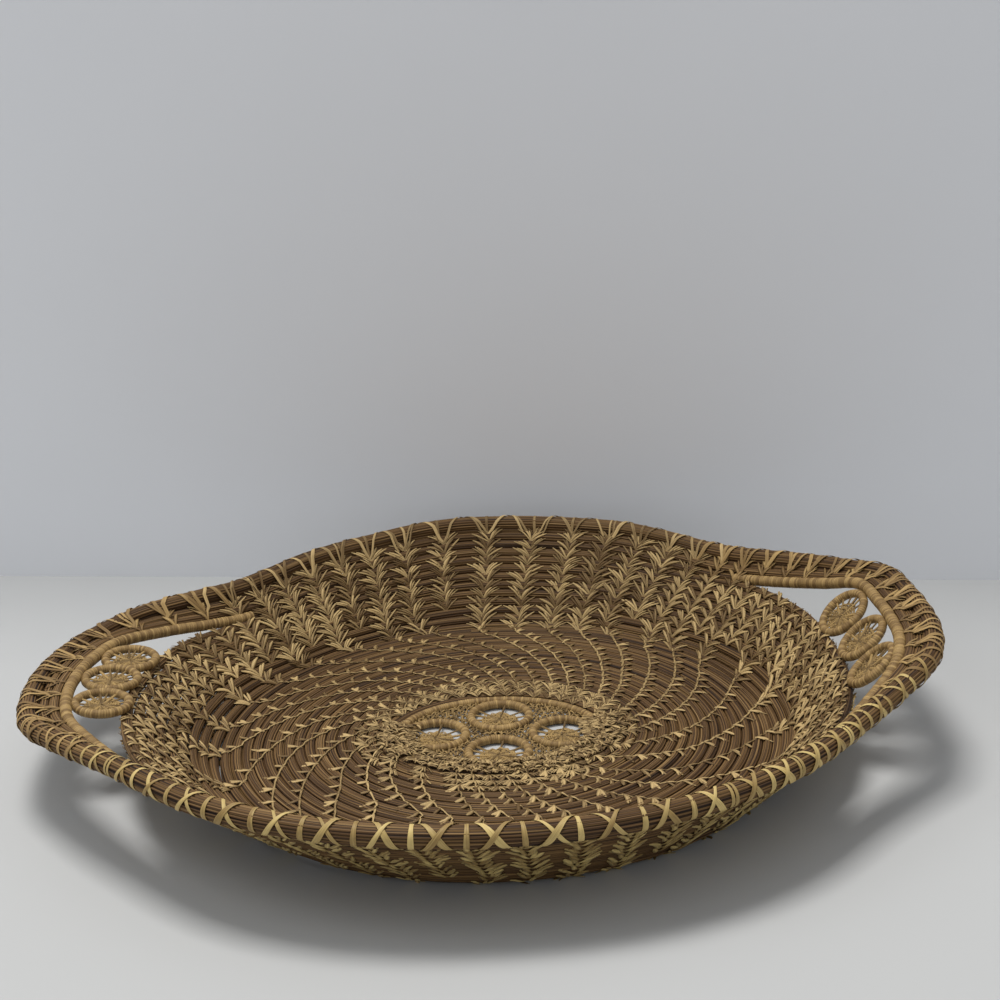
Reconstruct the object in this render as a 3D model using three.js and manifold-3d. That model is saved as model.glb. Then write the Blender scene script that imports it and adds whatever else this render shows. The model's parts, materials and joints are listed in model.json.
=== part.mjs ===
import * as THREE from 'three';
import Module from 'manifold-3d';
import { mergeVertices } from 'three/addons/utils/BufferGeometryUtils.js';

// A shallow coiled basket of pine needle bundles with two open handles.
// The coil runs as one spiral: out over the floor, up the wall, round the handle bars and under the rim.
// Lengths are millimetres, +Z is up, +X runs from the middle towards the right handle.

const TAU = 2 * Math.PI;
const radians = THREE.MathUtils.degToRad;
const { smoothstep, lerp } = THREE.MathUtils;

// Needle coil
const rowWidth = 3.85;
const rowThickness = 4.2;
const rowGap = 0.55;
const stepsPerLoop = 24;
const coilSides = 6;
const coilStart = radians(90);
const taperWidth = 0.9;

// Floor and wall
const floorRadius = 113;
const bendRadius = 10;
const wallSlope = radians(44);
const wallLoops = 10;
const bandLoops = 2;

// Rim and handle bars
const rimDiameter = 8;
const rimSides = 8;
const barDiameter = 4.2;
const barSides = 8;
const openingEase = 0.65;

// Wrapped rings and their webs
const handleRingDiameter = 23;
const centreRingDiameter = 27.5;
const ringCord = 4.2;
const ringSides = 8;
const ringSteps = 20;
const webThickness = 1.2;
const webSpokes = 8;
const spokeWidth = 1.3;
const hubShare = 0.42;

// Centre medallion
const medallionTurn = radians(-8);
const centreRingAcross = 26.6;
const centreRingAlong = 17.2;
const hoopSteps = 48;
const nettingThickness = 1.6;

// Middle of the floor, measured from the middle of the basket's overall length and width
const floorMiddle = { x: 6.5, y: -2 };

// Clearances between pieces
const seat = 0.3;
const barSeat = 0.8;
const buttGap = 0.35;

// How far the wall's top edge stands out of round, and above its plain height, at angles round the basket
const outline = [
  { angle: -180, swell: 8.1, rise: 1.4 },
  { angle: -144, swell: 10.4, rise: 2.7 },
  { angle: -90, swell: -2.9, rise: -0.9 },
  { angle: -36, swell: -1.7, rise: -0.1 },
  { angle: 0, swell: -2.7, rise: 0.1 },
  { angle: 24, swell: 0.8, rise: 1.3 },
  { angle: 42, swell: -0.2, rise: -3.4 },
  { angle: 62, swell: -0.7, rise: 0.3 },
  { angle: 90, swell: 2.1, rise: 0.2 },
  { angle: 112, swell: -4.1, rise: -1.5 },
  { angle: 132, swell: -2.8, rise: -6 },
  { angle: 152, swell: 8, rise: -4 },
  { angle: 180, swell: 8.1, rise: 1.4 },
];

// Each handle: its middle, how far the opening stays full and where it ends on both sides of that,
// the spacing of its rings, and the slope of each part going out
const handles = [
  {
    side: 'right',
    middle: radians(-5.8),
    before: { full: radians(14.2), end: radians(38.5) },
    after: { full: radians(12.5), end: radians(39) },
    ringSpacing: radians(10.4),
    seatLift: radians(56),
    ringLift: radians(41.5),
    barLift: radians(39.5),
    bandLean: radians(12.5),
  },
  {
    side: 'left',
    middle: radians(172.6),
    before: { full: radians(13.8), end: radians(36) },
    after: { full: radians(12.5), end: radians(45) },
    ringSpacing: radians(9.4),
    seatLift: radians(87),
    ringLift: radians(5),
    barLift: radians(11),
    bandLean: radians(-4),
  },
];

const rowPitch = rowWidth + rowGap;
const standCut = rowThickness / 10;
const floorHeight = rowThickness / 2 - standCut;
const hoopReach = centreRingDiameter / 2 + seat + ringCord / 2;
const hoopHalfLength = centreRingAcross + hoopReach;
const hoopHalfWidth = centreRingAlong + hoopReach;
const seatReach = rowWidth / 2 + seat + ringCord / 2;
const barReach = ringCord / 2 + barSeat + barDiameter / 2;

const colours = {
  needles: { color: 0x5a3f2c, roughness: 0.72 },
  raffia: { color: 0xa98656, roughness: 0.66 },
  netting: { color: 0x9a7440, roughness: 0.75 },
};

// Angle from a handle's middle, -pi to pi
function angleFrom(middle, theta) {
  return THREE.MathUtils.euclideanModulo(theta - middle + Math.PI, TAU) - Math.PI;
}

// Polar radius of the centre hoop's middle line
function hoopRadius(theta) {
  const along = hoopHalfWidth * Math.cos(theta - medallionTurn);
  const across = hoopHalfLength * Math.sin(theta - medallionTurn);
  return (hoopHalfLength * hoopHalfWidth) / Math.hypot(along, across);
}

// Wall section: distance up the wall from the floor's edge gives radius, height and lean
function wallSection(climb) {
  const lean = THREE.MathUtils.clamp(climb / bendRadius, 0, wallSlope);
  const straight = climb - lean * bendRadius;
  return {
    radius: floorRadius + bendRadius * Math.sin(lean) + straight * Math.cos(lean),
    height: floorHeight + bendRadius * (1 - Math.cos(lean)) + straight * Math.sin(lean),
    lean,
  };
}

// How far the wall's top edge stands out of round and above its plain height at an angle
function outlineAt(theta) {
  const degrees = THREE.MathUtils.radToDeg(angleFrom(0, theta));
  const next = outline.findIndex(({ angle }) => angle > degrees);
  const [from, to] = [outline[next - 1], outline[next]];
  const share = smoothstep(degrees, from.angle, to.angle);
  return { swell: lerp(from.swell, to.swell, share), rise: lerp(from.rise, to.rise, share) };
}

// A row's middle on the wall, before any handle opening lifts it
function wallRow(theta, climb) {
  const section = wallSection(climb);
  const { swell, rise } = outlineAt(theta);
  const share = THREE.MathUtils.clamp(climb / (wallLoops * rowPitch), 0, 1);
  return { ...section, radius: section.radius + swell * share, height: section.height + rise * share };
}

// The handle nearest to an angle and how open its gap is there, 0 to 1
function openingAt(theta) {
  const handle = Math.cos(theta) > 0 ? handles[0] : handles[1];
  const away = angleFrom(handle.middle, theta);
  const { full, end } = away < 0 ? handle.before : handle.after;
  const past = THREE.MathUtils.clamp((Math.abs(away) - full) / (end - full), 0, 1);
  return { handle, open: 1 - smoothstep(past ** openingEase, 0, 1) };
}

// Distance up the wall of the spiral's row after a number of loops beyond the floor
function spiralClimb(loops) {
  return rowPitch * loops;
}

// Loops beyond the floor of the handle bar's row at an angle
function barLoops(theta) {
  return wallLoops + THREE.MathUtils.euclideanModulo(theta - coilStart, TAU) / TAU;
}

// Going out from the wall's top row at a handle: the ring's near cord, its middle, and the bar
function handleSection(theta, handle) {
  const edge = wallRow(theta, spiralClimb(barLoops(theta)) - rowPitch);
  const place = new THREE.Vector2(edge.radius, edge.height);
  const step = (length, slope) => place.add(new THREE.Vector2(length, 0).rotateAround(new THREE.Vector2(), slope));
  step(seatReach, handle.seatLift);
  const ring = step((handleRingDiameter - ringCord) / 2, handle.ringLift).clone();
  step((handleRingDiameter - ringCord) / 2, handle.ringLift);
  const bar = step(barReach, handle.barLift);
  return { ring, bar };
}

// A row above the openings: on the wall away from the handles, and out beyond the bar at them
function upperRow(theta, climb) {
  const { handle, open } = openingAt(theta);
  const barClimb = spiralClimb(barLoops(theta));
  const plain = wallRow(theta, barClimb);
  const { bar } = handleSection(theta, handle);
  const lean = lerp(plain.lean, handle.bandLean, open);
  const beyond = climb - barClimb;
  return {
    radius: lerp(plain.radius, bar.x, open) + beyond * Math.cos(lean),
    height: lerp(plain.height, bar.y, open) + beyond * Math.sin(lean),
    lean,
  };
}

// A row with its width and lean set by the rows beside it, so that the gap between rows stays even
function fitted(rowAt, theta, climb, width = rowWidth) {
  const below = rowAt(theta, climb - rowPitch / 2);
  const above = rowAt(theta, climb + rowPitch / 2);
  const across = new THREE.Vector2(above.radius - below.radius, above.height - below.height);
  return { ...rowAt(theta, climb), lean: across.angle(), width: width + across.length() - rowPitch };
}

// Point, sideways and outward directions of a row at an angle
function rowFrame(theta, row) {
  const outward = new THREE.Vector3(Math.cos(theta), Math.sin(theta), 0);
  return {
    point: outward.clone().multiplyScalar(row.radius).setZ(row.height),
    along: outward.clone().multiplyScalar(Math.cos(row.lean)).setZ(Math.sin(row.lean)),
    normal: outward.clone().multiplyScalar(-Math.sin(row.lean)).setZ(Math.cos(row.lean)),
  };
}

// Ring of section points about a frame, never lower than the surface the basket stands on
function sectionRing(frame, width, thickness, sides) {
  const ring = [];
  for (let side = 0; side < sides; side += 1) {
    const angle = (TAU * side) / sides;
    const point = frame.point.clone()
      .addScaledVector(frame.along, (Math.cos(angle) * width) / 2)
      .addScaledVector(frame.normal, (Math.sin(angle) * thickness) / 2);
    point.z = Math.max(point.z, 0);
    ring.push(point);
  }
  return ring;
}

// Closed solid through a list of section rings, capped at both ends or joined end to start
function skin(rings, joined = false) {
  const sides = rings[0].length;
  const positions = rings.flat().flatMap((point) => point.toArray());
  const triangles = [];
  const spans = joined ? rings.length : rings.length - 1;
  for (let span = 0; span < spans; span += 1) {
    const here = span * sides;
    const next = ((span + 1) % rings.length) * sides;
    for (let side = 0; side < sides; side += 1) {
      const after = (side + 1) % sides;
      triangles.push(here + side, next + side, here + after);
      triangles.push(here + after, next + side, next + after);
    }
  }
  if (!joined) {
    const last = (rings.length - 1) * sides;
    for (let side = 1; side < sides - 1; side += 1) {
      triangles.push(0, side, side + 1);
      triangles.push(last, last + side + 1, last + side);
    }
  }
  const geometry = new THREE.BufferGeometry();
  geometry.setAttribute('position', new THREE.Float32BufferAttribute(positions, 3));
  geometry.setIndex(triangles);
  geometry.computeVertexNormals();
  return geometry;
}

const basket = new THREE.Group();
basket.position.set(floorMiddle.x, floorMiddle.y, 0);

function addPiece(name, geometry, colour, parent = basket) {
  const material = new THREE.MeshStandardMaterial({ ...colours[colour], metalness: 0 });
  const mesh = new THREE.Mesh(geometry, material);
  mesh.name = name;
  parent.add(mesh);
  return mesh;
}

// Least distance between one loop of a coil and the next, taken over points on their facing sides
function leastGap(rings) {
  let least = Infinity;
  for (let index = 0; index + stepsPerLoop < rings.length; index += 1) {
    for (const near of rings[index]) {
      for (const far of rings[index + stepsPerLoop]) {
        least = Math.min(least, near.distanceTo(far));
      }
    }
  }
  return least;
}

function reportGap(name, rings) {
  console.log(`${name}: least gap between its loops ${leastGap(rings).toFixed(2)} mm`);
}

// Angles at whole steps of the coil between two spiral positions, with trimmed ends
function coilSteps(from, to, perLoop, trimStart, trimEnd) {
  const steps = [from + trimStart];
  for (let index = Math.floor(from * perLoop) + 1; index / perLoop < to - 1e-6; index += 1) {
    steps.push(index / perLoop);
  }
  steps.push(to - trimEnd);
  return steps;
}

// Floor: the first loop tapers up from a thin start beside the hoop
const floorInner = (theta) => hoopRadius(theta) + ringCord / 2 + seat + taperWidth;
const meanFloorInner = (floorInner(0) + floorInner(Math.PI / 2)) / 2;
const floorLoops = Math.floor((floorRadius + rowWidth / 2 - meanFloorInner) / rowPitch);

function floorRing(loops) {
  const theta = coilStart + TAU * loops;
  const inner = floorInner(theta);
  const pitch = (floorRadius + rowWidth / 2 - inner) / floorLoops;
  const fullWidth = pitch - rowGap;
  const width = lerp(taperWidth, fullWidth, Math.min(loops, 1));
  const row = { radius: inner + pitch * loops - width / 2, height: floorHeight, lean: 0 };
  return sectionRing(rowFrame(theta, row), width, rowThickness, coilSides);
}

const trim = buttGap / 2 / TAU;
const floorRings = coilSteps(0, floorLoops, stepsPerLoop, 0, trim / floorRadius).map(floorRing);
addPiece('floor_coil', skin(floorRings), 'needles');
reportGap('floor_coil', floorRings);

// Where each handle bar starts and ends, as loops beyond the floor
function loopsAt(theta, after) {
  return after + THREE.MathUtils.euclideanModulo(theta - coilStart, TAU) / TAU;
}

const [rightHandle, leftHandle] = handles;
const leftBarStart = loopsAt(leftHandle.middle - leftHandle.before.end, wallLoops);
const leftBarEnd = loopsAt(leftHandle.middle + leftHandle.after.end, wallLoops);
const rightBarStart = loopsAt(rightHandle.middle - rightHandle.before.end, wallLoops);
const rightBarEnd = loopsAt(rightHandle.middle + rightHandle.after.end, wallLoops);

const wallTopRadius = wallSection(spiralClimb(wallLoops)).radius;
const wallTrim = trim / wallTopRadius;
const upperSteps = 2 * stepsPerLoop;

// Wall: loops up to the left handle's bar
function wallRing(loops) {
  const theta = coilStart + TAU * loops;
  const row = fitted(wallRow, theta, spiralClimb(loops));
  return sectionRing(rowFrame(theta, row), row.width, rowThickness, coilSides);
}

const wallRings = coilSteps(0, leftBarStart, stepsPerLoop, trim / floorRadius, wallTrim).map(wallRing);
addPiece('wall_coil', skin(wallRings), 'needles');
reportGap('wall_coil', wallRings);

// Rows above the wall: round bars over the openings and a needle row between them
function barRing(loops) {
  const theta = coilStart + TAU * loops;
  return sectionRing(rowFrame(theta, upperRow(theta, spiralClimb(loops))), barDiameter, barDiameter, barSides);
}

function rowRing(loops) {
  const theta = coilStart + TAU * loops;
  const row = fitted(upperRow, theta, spiralClimb(loops));
  return sectionRing(rowFrame(theta, row), row.width, rowThickness, coilSides);
}

const leftBar = coilSteps(leftBarStart, leftBarEnd, upperSteps, wallTrim, wallTrim).map(barRing);
addPiece('left_handle_bar', skin(leftBar), 'raffia');
const frontRow = coilSteps(leftBarEnd, rightBarStart, upperSteps, wallTrim, wallTrim).map(rowRing);
addPiece('front_upper_row', skin(frontRow), 'needles');
const rightBar = coilSteps(rightBarStart, rightBarEnd, upperSteps, wallTrim, wallTrim).map(barRing);
addPiece('right_handle_bar', skin(rightBar), 'raffia');

// Band: the last loop under the rim, thinning away so that the rim lies level
const bandEnd = wallLoops + 1 + bandLoops;

function bandRing(loops) {
  const theta = coilStart + TAU * loops;
  const past = Math.max(loops - (bandEnd - 1), 0);
  const width = lerp(rowWidth, taperWidth, past);
  const climb = spiralClimb(loops) - (rowWidth - width) / 2;
  return sectionRing(rowFrame(theta, upperRow(theta, climb)), width, rowThickness, coilSides);
}

const bandRings = coilSteps(rightBarEnd, bandEnd, upperSteps, wallTrim, 0).map(bandRing);
addPiece('band_coil', skin(bandRings), 'needles');

// Rim: one thick turn that closes on itself at a butt joint
const rimStart = bandEnd - 1;

function rimRing(loops) {
  const theta = coilStart + TAU * loops;
  const width = lerp(rowWidth, taperWidth, loops - rimStart);
  const climb = spiralClimb(loops) - rowWidth / 2 + width + rowGap + rimDiameter / 2;
  return sectionRing(rowFrame(theta, upperRow(theta, climb)), rimDiameter, rimDiameter, rimSides);
}

const rimRings = coilSteps(rimStart, bandEnd, upperSteps, wallTrim, wallTrim).map(rimRing);
addPiece('rim_coil', skin(rimRings), 'needles');

// Ring wrapped in raffia, lying in its group's XY plane
function wrappedRing(name, diameter, parent) {
  const middle = (diameter - ringCord) / 2;
  addPiece(name, new THREE.TorusGeometry(middle, ringCord / 2, ringSides, ringSteps), 'raffia', parent);
}

// Flat needle-lace web: a hub and spokes that end just inside the ring
function web(name, diameter, parent) {
  const rimRadius = diameter / 2 - ringCord - seat;
  const hubRadius = rimRadius * hubShare;
  const half = spokeWidth / 2;
  const outline = [];
  for (let spoke = 0; spoke < webSpokes; spoke += 1) {
    const turn = (TAU * spoke) / webSpokes;
    for (const [reach, offset] of [[hubRadius, -half], [rimRadius, -half], [rimRadius, half], [hubRadius, half]]) {
      outline.push(new THREE.Vector2(reach, offset).rotateAround(new THREE.Vector2(), turn));
    }
  }
  const geometry = new THREE.ExtrudeGeometry(new THREE.Shape(outline), { depth: webThickness, bevelEnabled: false });
  geometry.translate(0, 0, -webThickness / 2);
  addPiece(name, geometry, 'netting', parent);
}

// Handle rings: three in each opening, seated between the wall's top row and the bar
for (const handle of handles) {
  [-1, 0, 1].forEach((place, index) => {
    const theta = handle.middle + place * handle.ringSpacing;
    const { ring } = handleSection(theta, handle);
    const outward = new THREE.Vector3(Math.cos(theta), Math.sin(theta), 0);
    const across = outward.clone().multiplyScalar(Math.cos(handle.ringLift)).setZ(Math.sin(handle.ringLift));
    const along = new THREE.Vector3(-Math.sin(theta), Math.cos(theta), 0);
    const facing = new THREE.Vector3().crossVectors(across, along);
    const holder = new THREE.Group();
    holder.position.copy(outward).multiplyScalar(ring.x).setZ(ring.y);
    holder.quaternion.setFromRotationMatrix(new THREE.Matrix4().makeBasis(across, along, facing));
    basket.add(holder);
    wrappedRing(`${handle.side}_ring_${index + 1}`, handleRingDiameter, holder);
    web(`${handle.side}_web_${index + 1}`, handleRingDiameter, holder);
  });
}

// Centre medallion: a hoop, four rings with webs and the netting that ties them together
const medallionHeight = ringCord / 2;
const medallion = new THREE.Group();
medallion.position.z = medallionHeight;
medallion.rotation.z = medallionTurn;
basket.add(medallion);

const hoopSections = [];
for (let step = 0; step < hoopSteps; step += 1) {
  const turn = (TAU * step) / hoopSteps;
  const lift = new THREE.Vector3(0, 0, 1);
  const point = new THREE.Vector3(hoopHalfLength * Math.cos(turn), hoopHalfWidth * Math.sin(turn), 0);
  const along = new THREE.Vector3(hoopHalfWidth * Math.cos(turn), hoopHalfLength * Math.sin(turn), 0).normalize();
  point.applyAxisAngle(lift, medallionTurn).setZ(medallionHeight);
  along.applyAxisAngle(lift, medallionTurn);
  hoopSections.push(sectionRing({ point, along, normal: lift }, ringCord, ringCord, ringSides));
}
addPiece('centre_hoop', skin(hoopSections, true), 'raffia');

const centreRings = [
  { name: 'east', x: centreRingAcross, y: 0 },
  { name: 'north', x: 0, y: centreRingAlong },
  { name: 'west', x: -centreRingAcross, y: 0 },
  { name: 'south', x: 0, y: -centreRingAlong },
];
for (const { name, x, y } of centreRings) {
  const holder = new THREE.Group();
  holder.position.set(x, y, 0);
  medallion.add(holder);
  wrappedRing(`centre_ring_${name}`, centreRingDiameter, holder);
  web(`centre_web_${name}`, centreRingDiameter, holder);
}

// Closed mesh with shared corners, as a solid that can be cut
const wasm = await Module();
wasm.setup();

function solidOf(geometry) {
  const bare = geometry.clone();
  bare.deleteAttribute('normal');
  bare.deleteAttribute('uv');
  const merged = mergeVertices(bare, 1e-4);
  const vertProperties = new Float32Array(merged.attributes.position.array);
  const triVerts = new Uint32Array(merged.index.array);
  return new wasm.Manifold(new wasm.Mesh({ numProp: 3, vertProperties, triVerts }));
}

function geometryOf(solid) {
  const { vertProperties, triVerts } = solid.getMesh();
  const geometry = new THREE.BufferGeometry();
  geometry.setAttribute('position', new THREE.BufferAttribute(new Float32Array(vertProperties), 3));
  geometry.setIndex(new THREE.BufferAttribute(new Uint32Array(triVerts), 1));
  geometry.computeVertexNormals();
  return geometry;
}

// Netting: an oval sheet inside the hoop, cut away round each ring
const nettingOval = new THREE.Shape().absellipse(
  0, 0, hoopHalfLength - ringCord / 2 - seat, hoopHalfWidth - ringCord / 2 - seat, 0, TAU, false, 0,
);
const nettingDepth = { depth: nettingThickness, bevelEnabled: false, curveSegments: hoopSteps };
const sheet = new THREE.ExtrudeGeometry(nettingOval, nettingDepth).translate(0, 0, -nettingThickness / 2);
let netting = solidOf(sheet);
for (const { x, y } of centreRings) {
  const hole = new THREE.CylinderGeometry(
    centreRingDiameter / 2 + seat, centreRingDiameter / 2 + seat, 2 * nettingThickness, 2 * ringSteps,
  );
  hole.rotateX(Math.PI / 2).translate(x, y, 0);
  netting = netting.subtract(solidOf(hole));
}
addPiece('centre_netting', geometryOf(netting), 'netting', medallion);

export default basket;
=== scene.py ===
# %% [markdown]
# # A coiled pine needle basket
# The real basket is one long bundle of pine needles, laid in a spiral and sewn row to row with raffia.
# Its floor, its flared wall, the bars over both handles and the rows above them are the same bundle all
# the way. So the lesson is built the same way: first it finds the path of the bundle, and then needles,
# wraps and stitches are laid along that path.

# %% The frame
import json
import math
import random
from collections import namedtuple

import bpy
import numpy as np
from mathutils import Matrix, Vector

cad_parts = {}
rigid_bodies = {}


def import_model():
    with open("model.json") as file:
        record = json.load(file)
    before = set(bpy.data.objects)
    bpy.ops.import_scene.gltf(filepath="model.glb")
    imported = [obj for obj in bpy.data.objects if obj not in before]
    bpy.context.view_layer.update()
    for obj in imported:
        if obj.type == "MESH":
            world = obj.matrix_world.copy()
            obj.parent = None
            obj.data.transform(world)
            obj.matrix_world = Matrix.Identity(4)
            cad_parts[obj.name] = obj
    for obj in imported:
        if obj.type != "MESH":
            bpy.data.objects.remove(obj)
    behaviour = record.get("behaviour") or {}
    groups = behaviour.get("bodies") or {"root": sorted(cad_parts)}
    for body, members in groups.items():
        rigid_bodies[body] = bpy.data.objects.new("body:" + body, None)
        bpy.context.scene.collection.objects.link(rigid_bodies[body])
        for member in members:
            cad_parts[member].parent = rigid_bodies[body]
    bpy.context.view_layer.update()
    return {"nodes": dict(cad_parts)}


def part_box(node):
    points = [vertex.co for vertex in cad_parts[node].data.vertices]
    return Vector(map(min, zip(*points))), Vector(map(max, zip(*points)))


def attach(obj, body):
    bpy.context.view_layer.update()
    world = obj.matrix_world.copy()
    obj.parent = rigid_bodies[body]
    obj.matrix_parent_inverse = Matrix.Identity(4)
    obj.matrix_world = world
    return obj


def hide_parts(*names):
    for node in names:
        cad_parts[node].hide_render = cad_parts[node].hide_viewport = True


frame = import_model()
print("nodes in the frame:", len(frame["nodes"]))

# %% [markdown]
# ## Camera
# The camera stands where the photographer stood, a little above the rim and nearly square to the long
# side. It looks past the middle of the basket, so that the basket sits low in the picture. The numbers
# are the distance to the middle of the floor, how steeply the camera looks down on it, the turn of the
# basket on the table, and the place of that middle in the picture.

# %% Camera
MM = 0.001
picture_size = 1000
camera_distance = 740.6 * MM
camera_height_angle = 0.451
basket_turn = 0.105
camera_roll = -0.039
focal_pixels = 1742.2
middle_in_picture = (489.25, 738.27)

hoop_low, hoop_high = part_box("centre_hoop")
centre = (hoop_low + hoop_high) / 2
centre.z = 0


def camera_pose():
    """Where the camera stands, and its axes to the right, up and back."""
    right_of_middle = (middle_in_picture[0] - picture_size / 2) / focal_pixels
    below_middle = (middle_in_picture[1] - picture_size / 2) / focal_pixels
    pitch = camera_height_angle - math.atan(below_middle)
    yaw = -math.atan(right_of_middle * math.cos(math.atan(below_middle)))
    forward = Vector((math.sin(yaw) * math.cos(pitch), math.cos(yaw) * math.cos(pitch), -math.sin(pitch)))
    level = Vector((math.cos(yaw), -math.sin(yaw), 0))
    upright = level.cross(forward)
    right = math.cos(camera_roll) * level + math.sin(camera_roll) * upright
    up = math.cos(camera_roll) * upright - math.sin(camera_roll) * level
    height = math.sin(camera_height_angle)
    reach = math.cos(camera_height_angle)
    spot = Vector((0, -camera_distance * reach, camera_distance * height))
    return spot, right, up, -forward


to_part = Matrix.Rotation(-basket_turn, 3, "Z")
camera_spot, camera_right, camera_up, camera_back = (to_part @ axis for axis in camera_pose())
camera_spot += centre
camera = bpy.data.objects.new("camera", bpy.data.cameras.new("camera"))
bpy.context.collection.objects.link(camera)
axes = Matrix((camera_right, camera_up, camera_back)).transposed()
camera.matrix_world = Matrix.Translation(camera_spot) @ axes.to_4x4()
camera.data.lens = focal_pixels / picture_size * camera.data.sensor_width
camera.data.clip_start = 0.01
bpy.context.scene.camera = camera
print("camera at", [round(value, 3) for value in camera_spot], "lens", round(camera.data.lens, 1), "mm")

# %% [markdown]
# ## Building node trees
# Every material and every Geometry Nodes tree below is made in code. A small helper keeps that short: a
# call adds one node, and its inputs take either a plain value or the output of another node.


# %% Node helper
class Nodes:
    """A node tree that is being built."""

    def __init__(self, tree):
        self.tree = tree

    def add(self, kind, inputs=None, **settings):
        """Add a node, set its properties and feed its inputs, by name or by place."""
        made = self.tree.nodes.new(kind)
        for name, value in settings.items():
            setattr(made, name, value)
        for socket, value in (inputs or {}).items():
            self.feed(made.inputs[socket], value)
        return made

    def feed(self, socket, value):
        """Join an output to an input, or set the input to a value."""
        if isinstance(value, bpy.types.NodeSocket):
            self.tree.links.new(value, socket)
        else:
            socket.default_value = value

    def math(self, operation, *values, clamp=False):
        made = self.add("ShaderNodeMath", operation=operation, use_clamp=clamp)
        for socket, value in zip(made.inputs, values):
            self.feed(socket, value)
        return made.outputs[0]

    def vector(self, operation, *values):
        made = self.add("ShaderNodeVectorMath", operation=operation)
        for socket, value in zip(made.inputs, values):
            self.feed(socket, value)
        return made.outputs["Value" if operation in ("LENGTH", "DOT_PRODUCT") else "Vector"]

    def combine(self, x=0.0, y=0.0, z=0.0):
        return self.add("ShaderNodeCombineXYZ", {"X": x, "Y": y, "Z": z}).outputs[0]

    def split(self, vector):
        return self.add("ShaderNodeSeparateXYZ", {0: vector}).outputs

    def noise(self, vector, scale, detail=0.0):
        inputs = {"Vector": vector, "Scale": scale, "Detail": detail}
        return self.add("ShaderNodeTexNoise", inputs).outputs

    def spread(self, value, low, high, to_low=0.0, to_high=1.0):
        """Stretch a value's range to another one."""
        inputs = {"Value": value, "From Min": low, "From Max": high, "To Min": to_low, "To Max": to_high}
        return self.add("ShaderNodeMapRange", inputs).outputs[0]


def new_finish(name, roughness, shine):
    """A material with its nodes and its shader, ready for colours."""
    material = bpy.data.materials.new(name)
    material.use_nodes = True
    shader = material.node_tree.nodes["Principled BSDF"]
    shader.inputs["Roughness"].default_value = roughness
    shader.inputs["Specular IOR Level"].default_value = shine
    return material, Nodes(material.node_tree), shader


# %% [markdown]
# ## Table, backdrop and light
# The photo was taken on a pale table in front of a grey wall, under soft light from above. Two sheets and
# three broad lamps are enough. The wall shows only from its front, so it doesn't hide the basket in views
# from behind.

# %% Table and backdrop
seam_rows = (576, 580)
wall_height = 0.75
stage_reach = 2.2


def seam_spot(column, row):
    """The spot of the table that shows at a place in the picture."""
    across = (column - picture_size / 2) / focal_pixels
    down = (row - picture_size / 2) / focal_pixels
    ray = -camera_back + camera_right * across - camera_up * down
    return camera_spot - ray * (camera_spot.z / ray.z)


def sheet_object(name, corners, material):
    """A flat four-cornered sheet."""
    mesh = bpy.data.meshes.new(name)
    mesh.from_pydata(corners, [], [(0, 1, 2, 3)])
    mesh.materials.append(material)
    sheet = bpy.data.objects.new(name, mesh)
    bpy.context.collection.objects.link(sheet)


def matt_paint(name, colour, mottle, from_front_only=False):
    """Painted board, very slightly uneven in tone."""
    material, nodes, shader = new_finish(name, 0.85, 0.2)
    place = nodes.add("ShaderNodeTexCoord").outputs["Object"]
    cloud = nodes.noise(place, 5.0, 3.0)["Fac"]
    dark = [value * (1 - mottle) for value in colour] + [1]
    light = [min(1, value * (1 + mottle)) for value in colour] + [1]
    mixed = nodes.add("ShaderNodeMix", {"Factor": cloud, 6: dark, 7: light}, data_type="RGBA")
    nodes.feed(shader.inputs["Base Color"], mixed.outputs[2])
    if from_front_only:
        behind = nodes.add("ShaderNodeNewGeometry").outputs["Backfacing"]
        clear = nodes.add("ShaderNodeBsdfTransparent").outputs[0]
        seen = nodes.add("ShaderNodeMixShader", {0: behind, 1: shader.outputs[0], 2: clear})
        nodes.feed(material.node_tree.nodes["Material Output"].inputs[0], seen.outputs[0])
    return material


seam_left = seam_spot(0, seam_rows[0])
seam_right = seam_spot(picture_size, seam_rows[1])
seam_middle = (seam_left + seam_right) / 2
side = (seam_right - seam_left).normalized()
away = Vector((-side.y, side.x, 0))
rise = Vector((0, 0, 1))
left_foot = seam_middle - side * stage_reach
right_foot = seam_middle + side * stage_reach
sheet_object(
    "table",
    [
        centre + (-side - away) * stage_reach,
        centre + (side - away) * stage_reach,
        centre + (side + away) * stage_reach,
        centre + (-side + away) * stage_reach,
    ],
    matt_paint("table_paint", (0.48, 0.485, 0.485), 0.03),
)
sheet_object(
    "backdrop",
    [left_foot, right_foot, right_foot + rise * wall_height, left_foot + rise * wall_height],
    matt_paint("wall_paint", (0.80, 0.815, 0.85), 0.03, from_front_only=True),
)
back = (seam_middle - centre).dot(away)
print("the wall stands", round(back * 1000), "mm behind the middle of the floor")

# %% Light
scene = bpy.context.scene
scene.view_settings.view_transform = "Standard"
scene.world = bpy.data.worlds.new("studio")
scene.world.use_nodes = True
sky = scene.world.node_tree.nodes["Background"]
sky.inputs["Color"].default_value = (0.97, 0.985, 1.0, 1)
sky.inputs["Strength"].default_value = 0.52


def lamp(name, spot, size, watts, colour):
    """A square soft box that faces the middle of the basket."""
    light = bpy.data.lights.new(name, "AREA")
    light.shape = "SQUARE"
    light.size = size
    light.energy = watts
    light.color = colour
    made = bpy.data.objects.new(name, light)
    bpy.context.collection.objects.link(made)
    made.location = spot
    made.rotation_euler = (centre - Vector(spot)).to_track_quat("-Z", "Y").to_euler()


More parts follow.
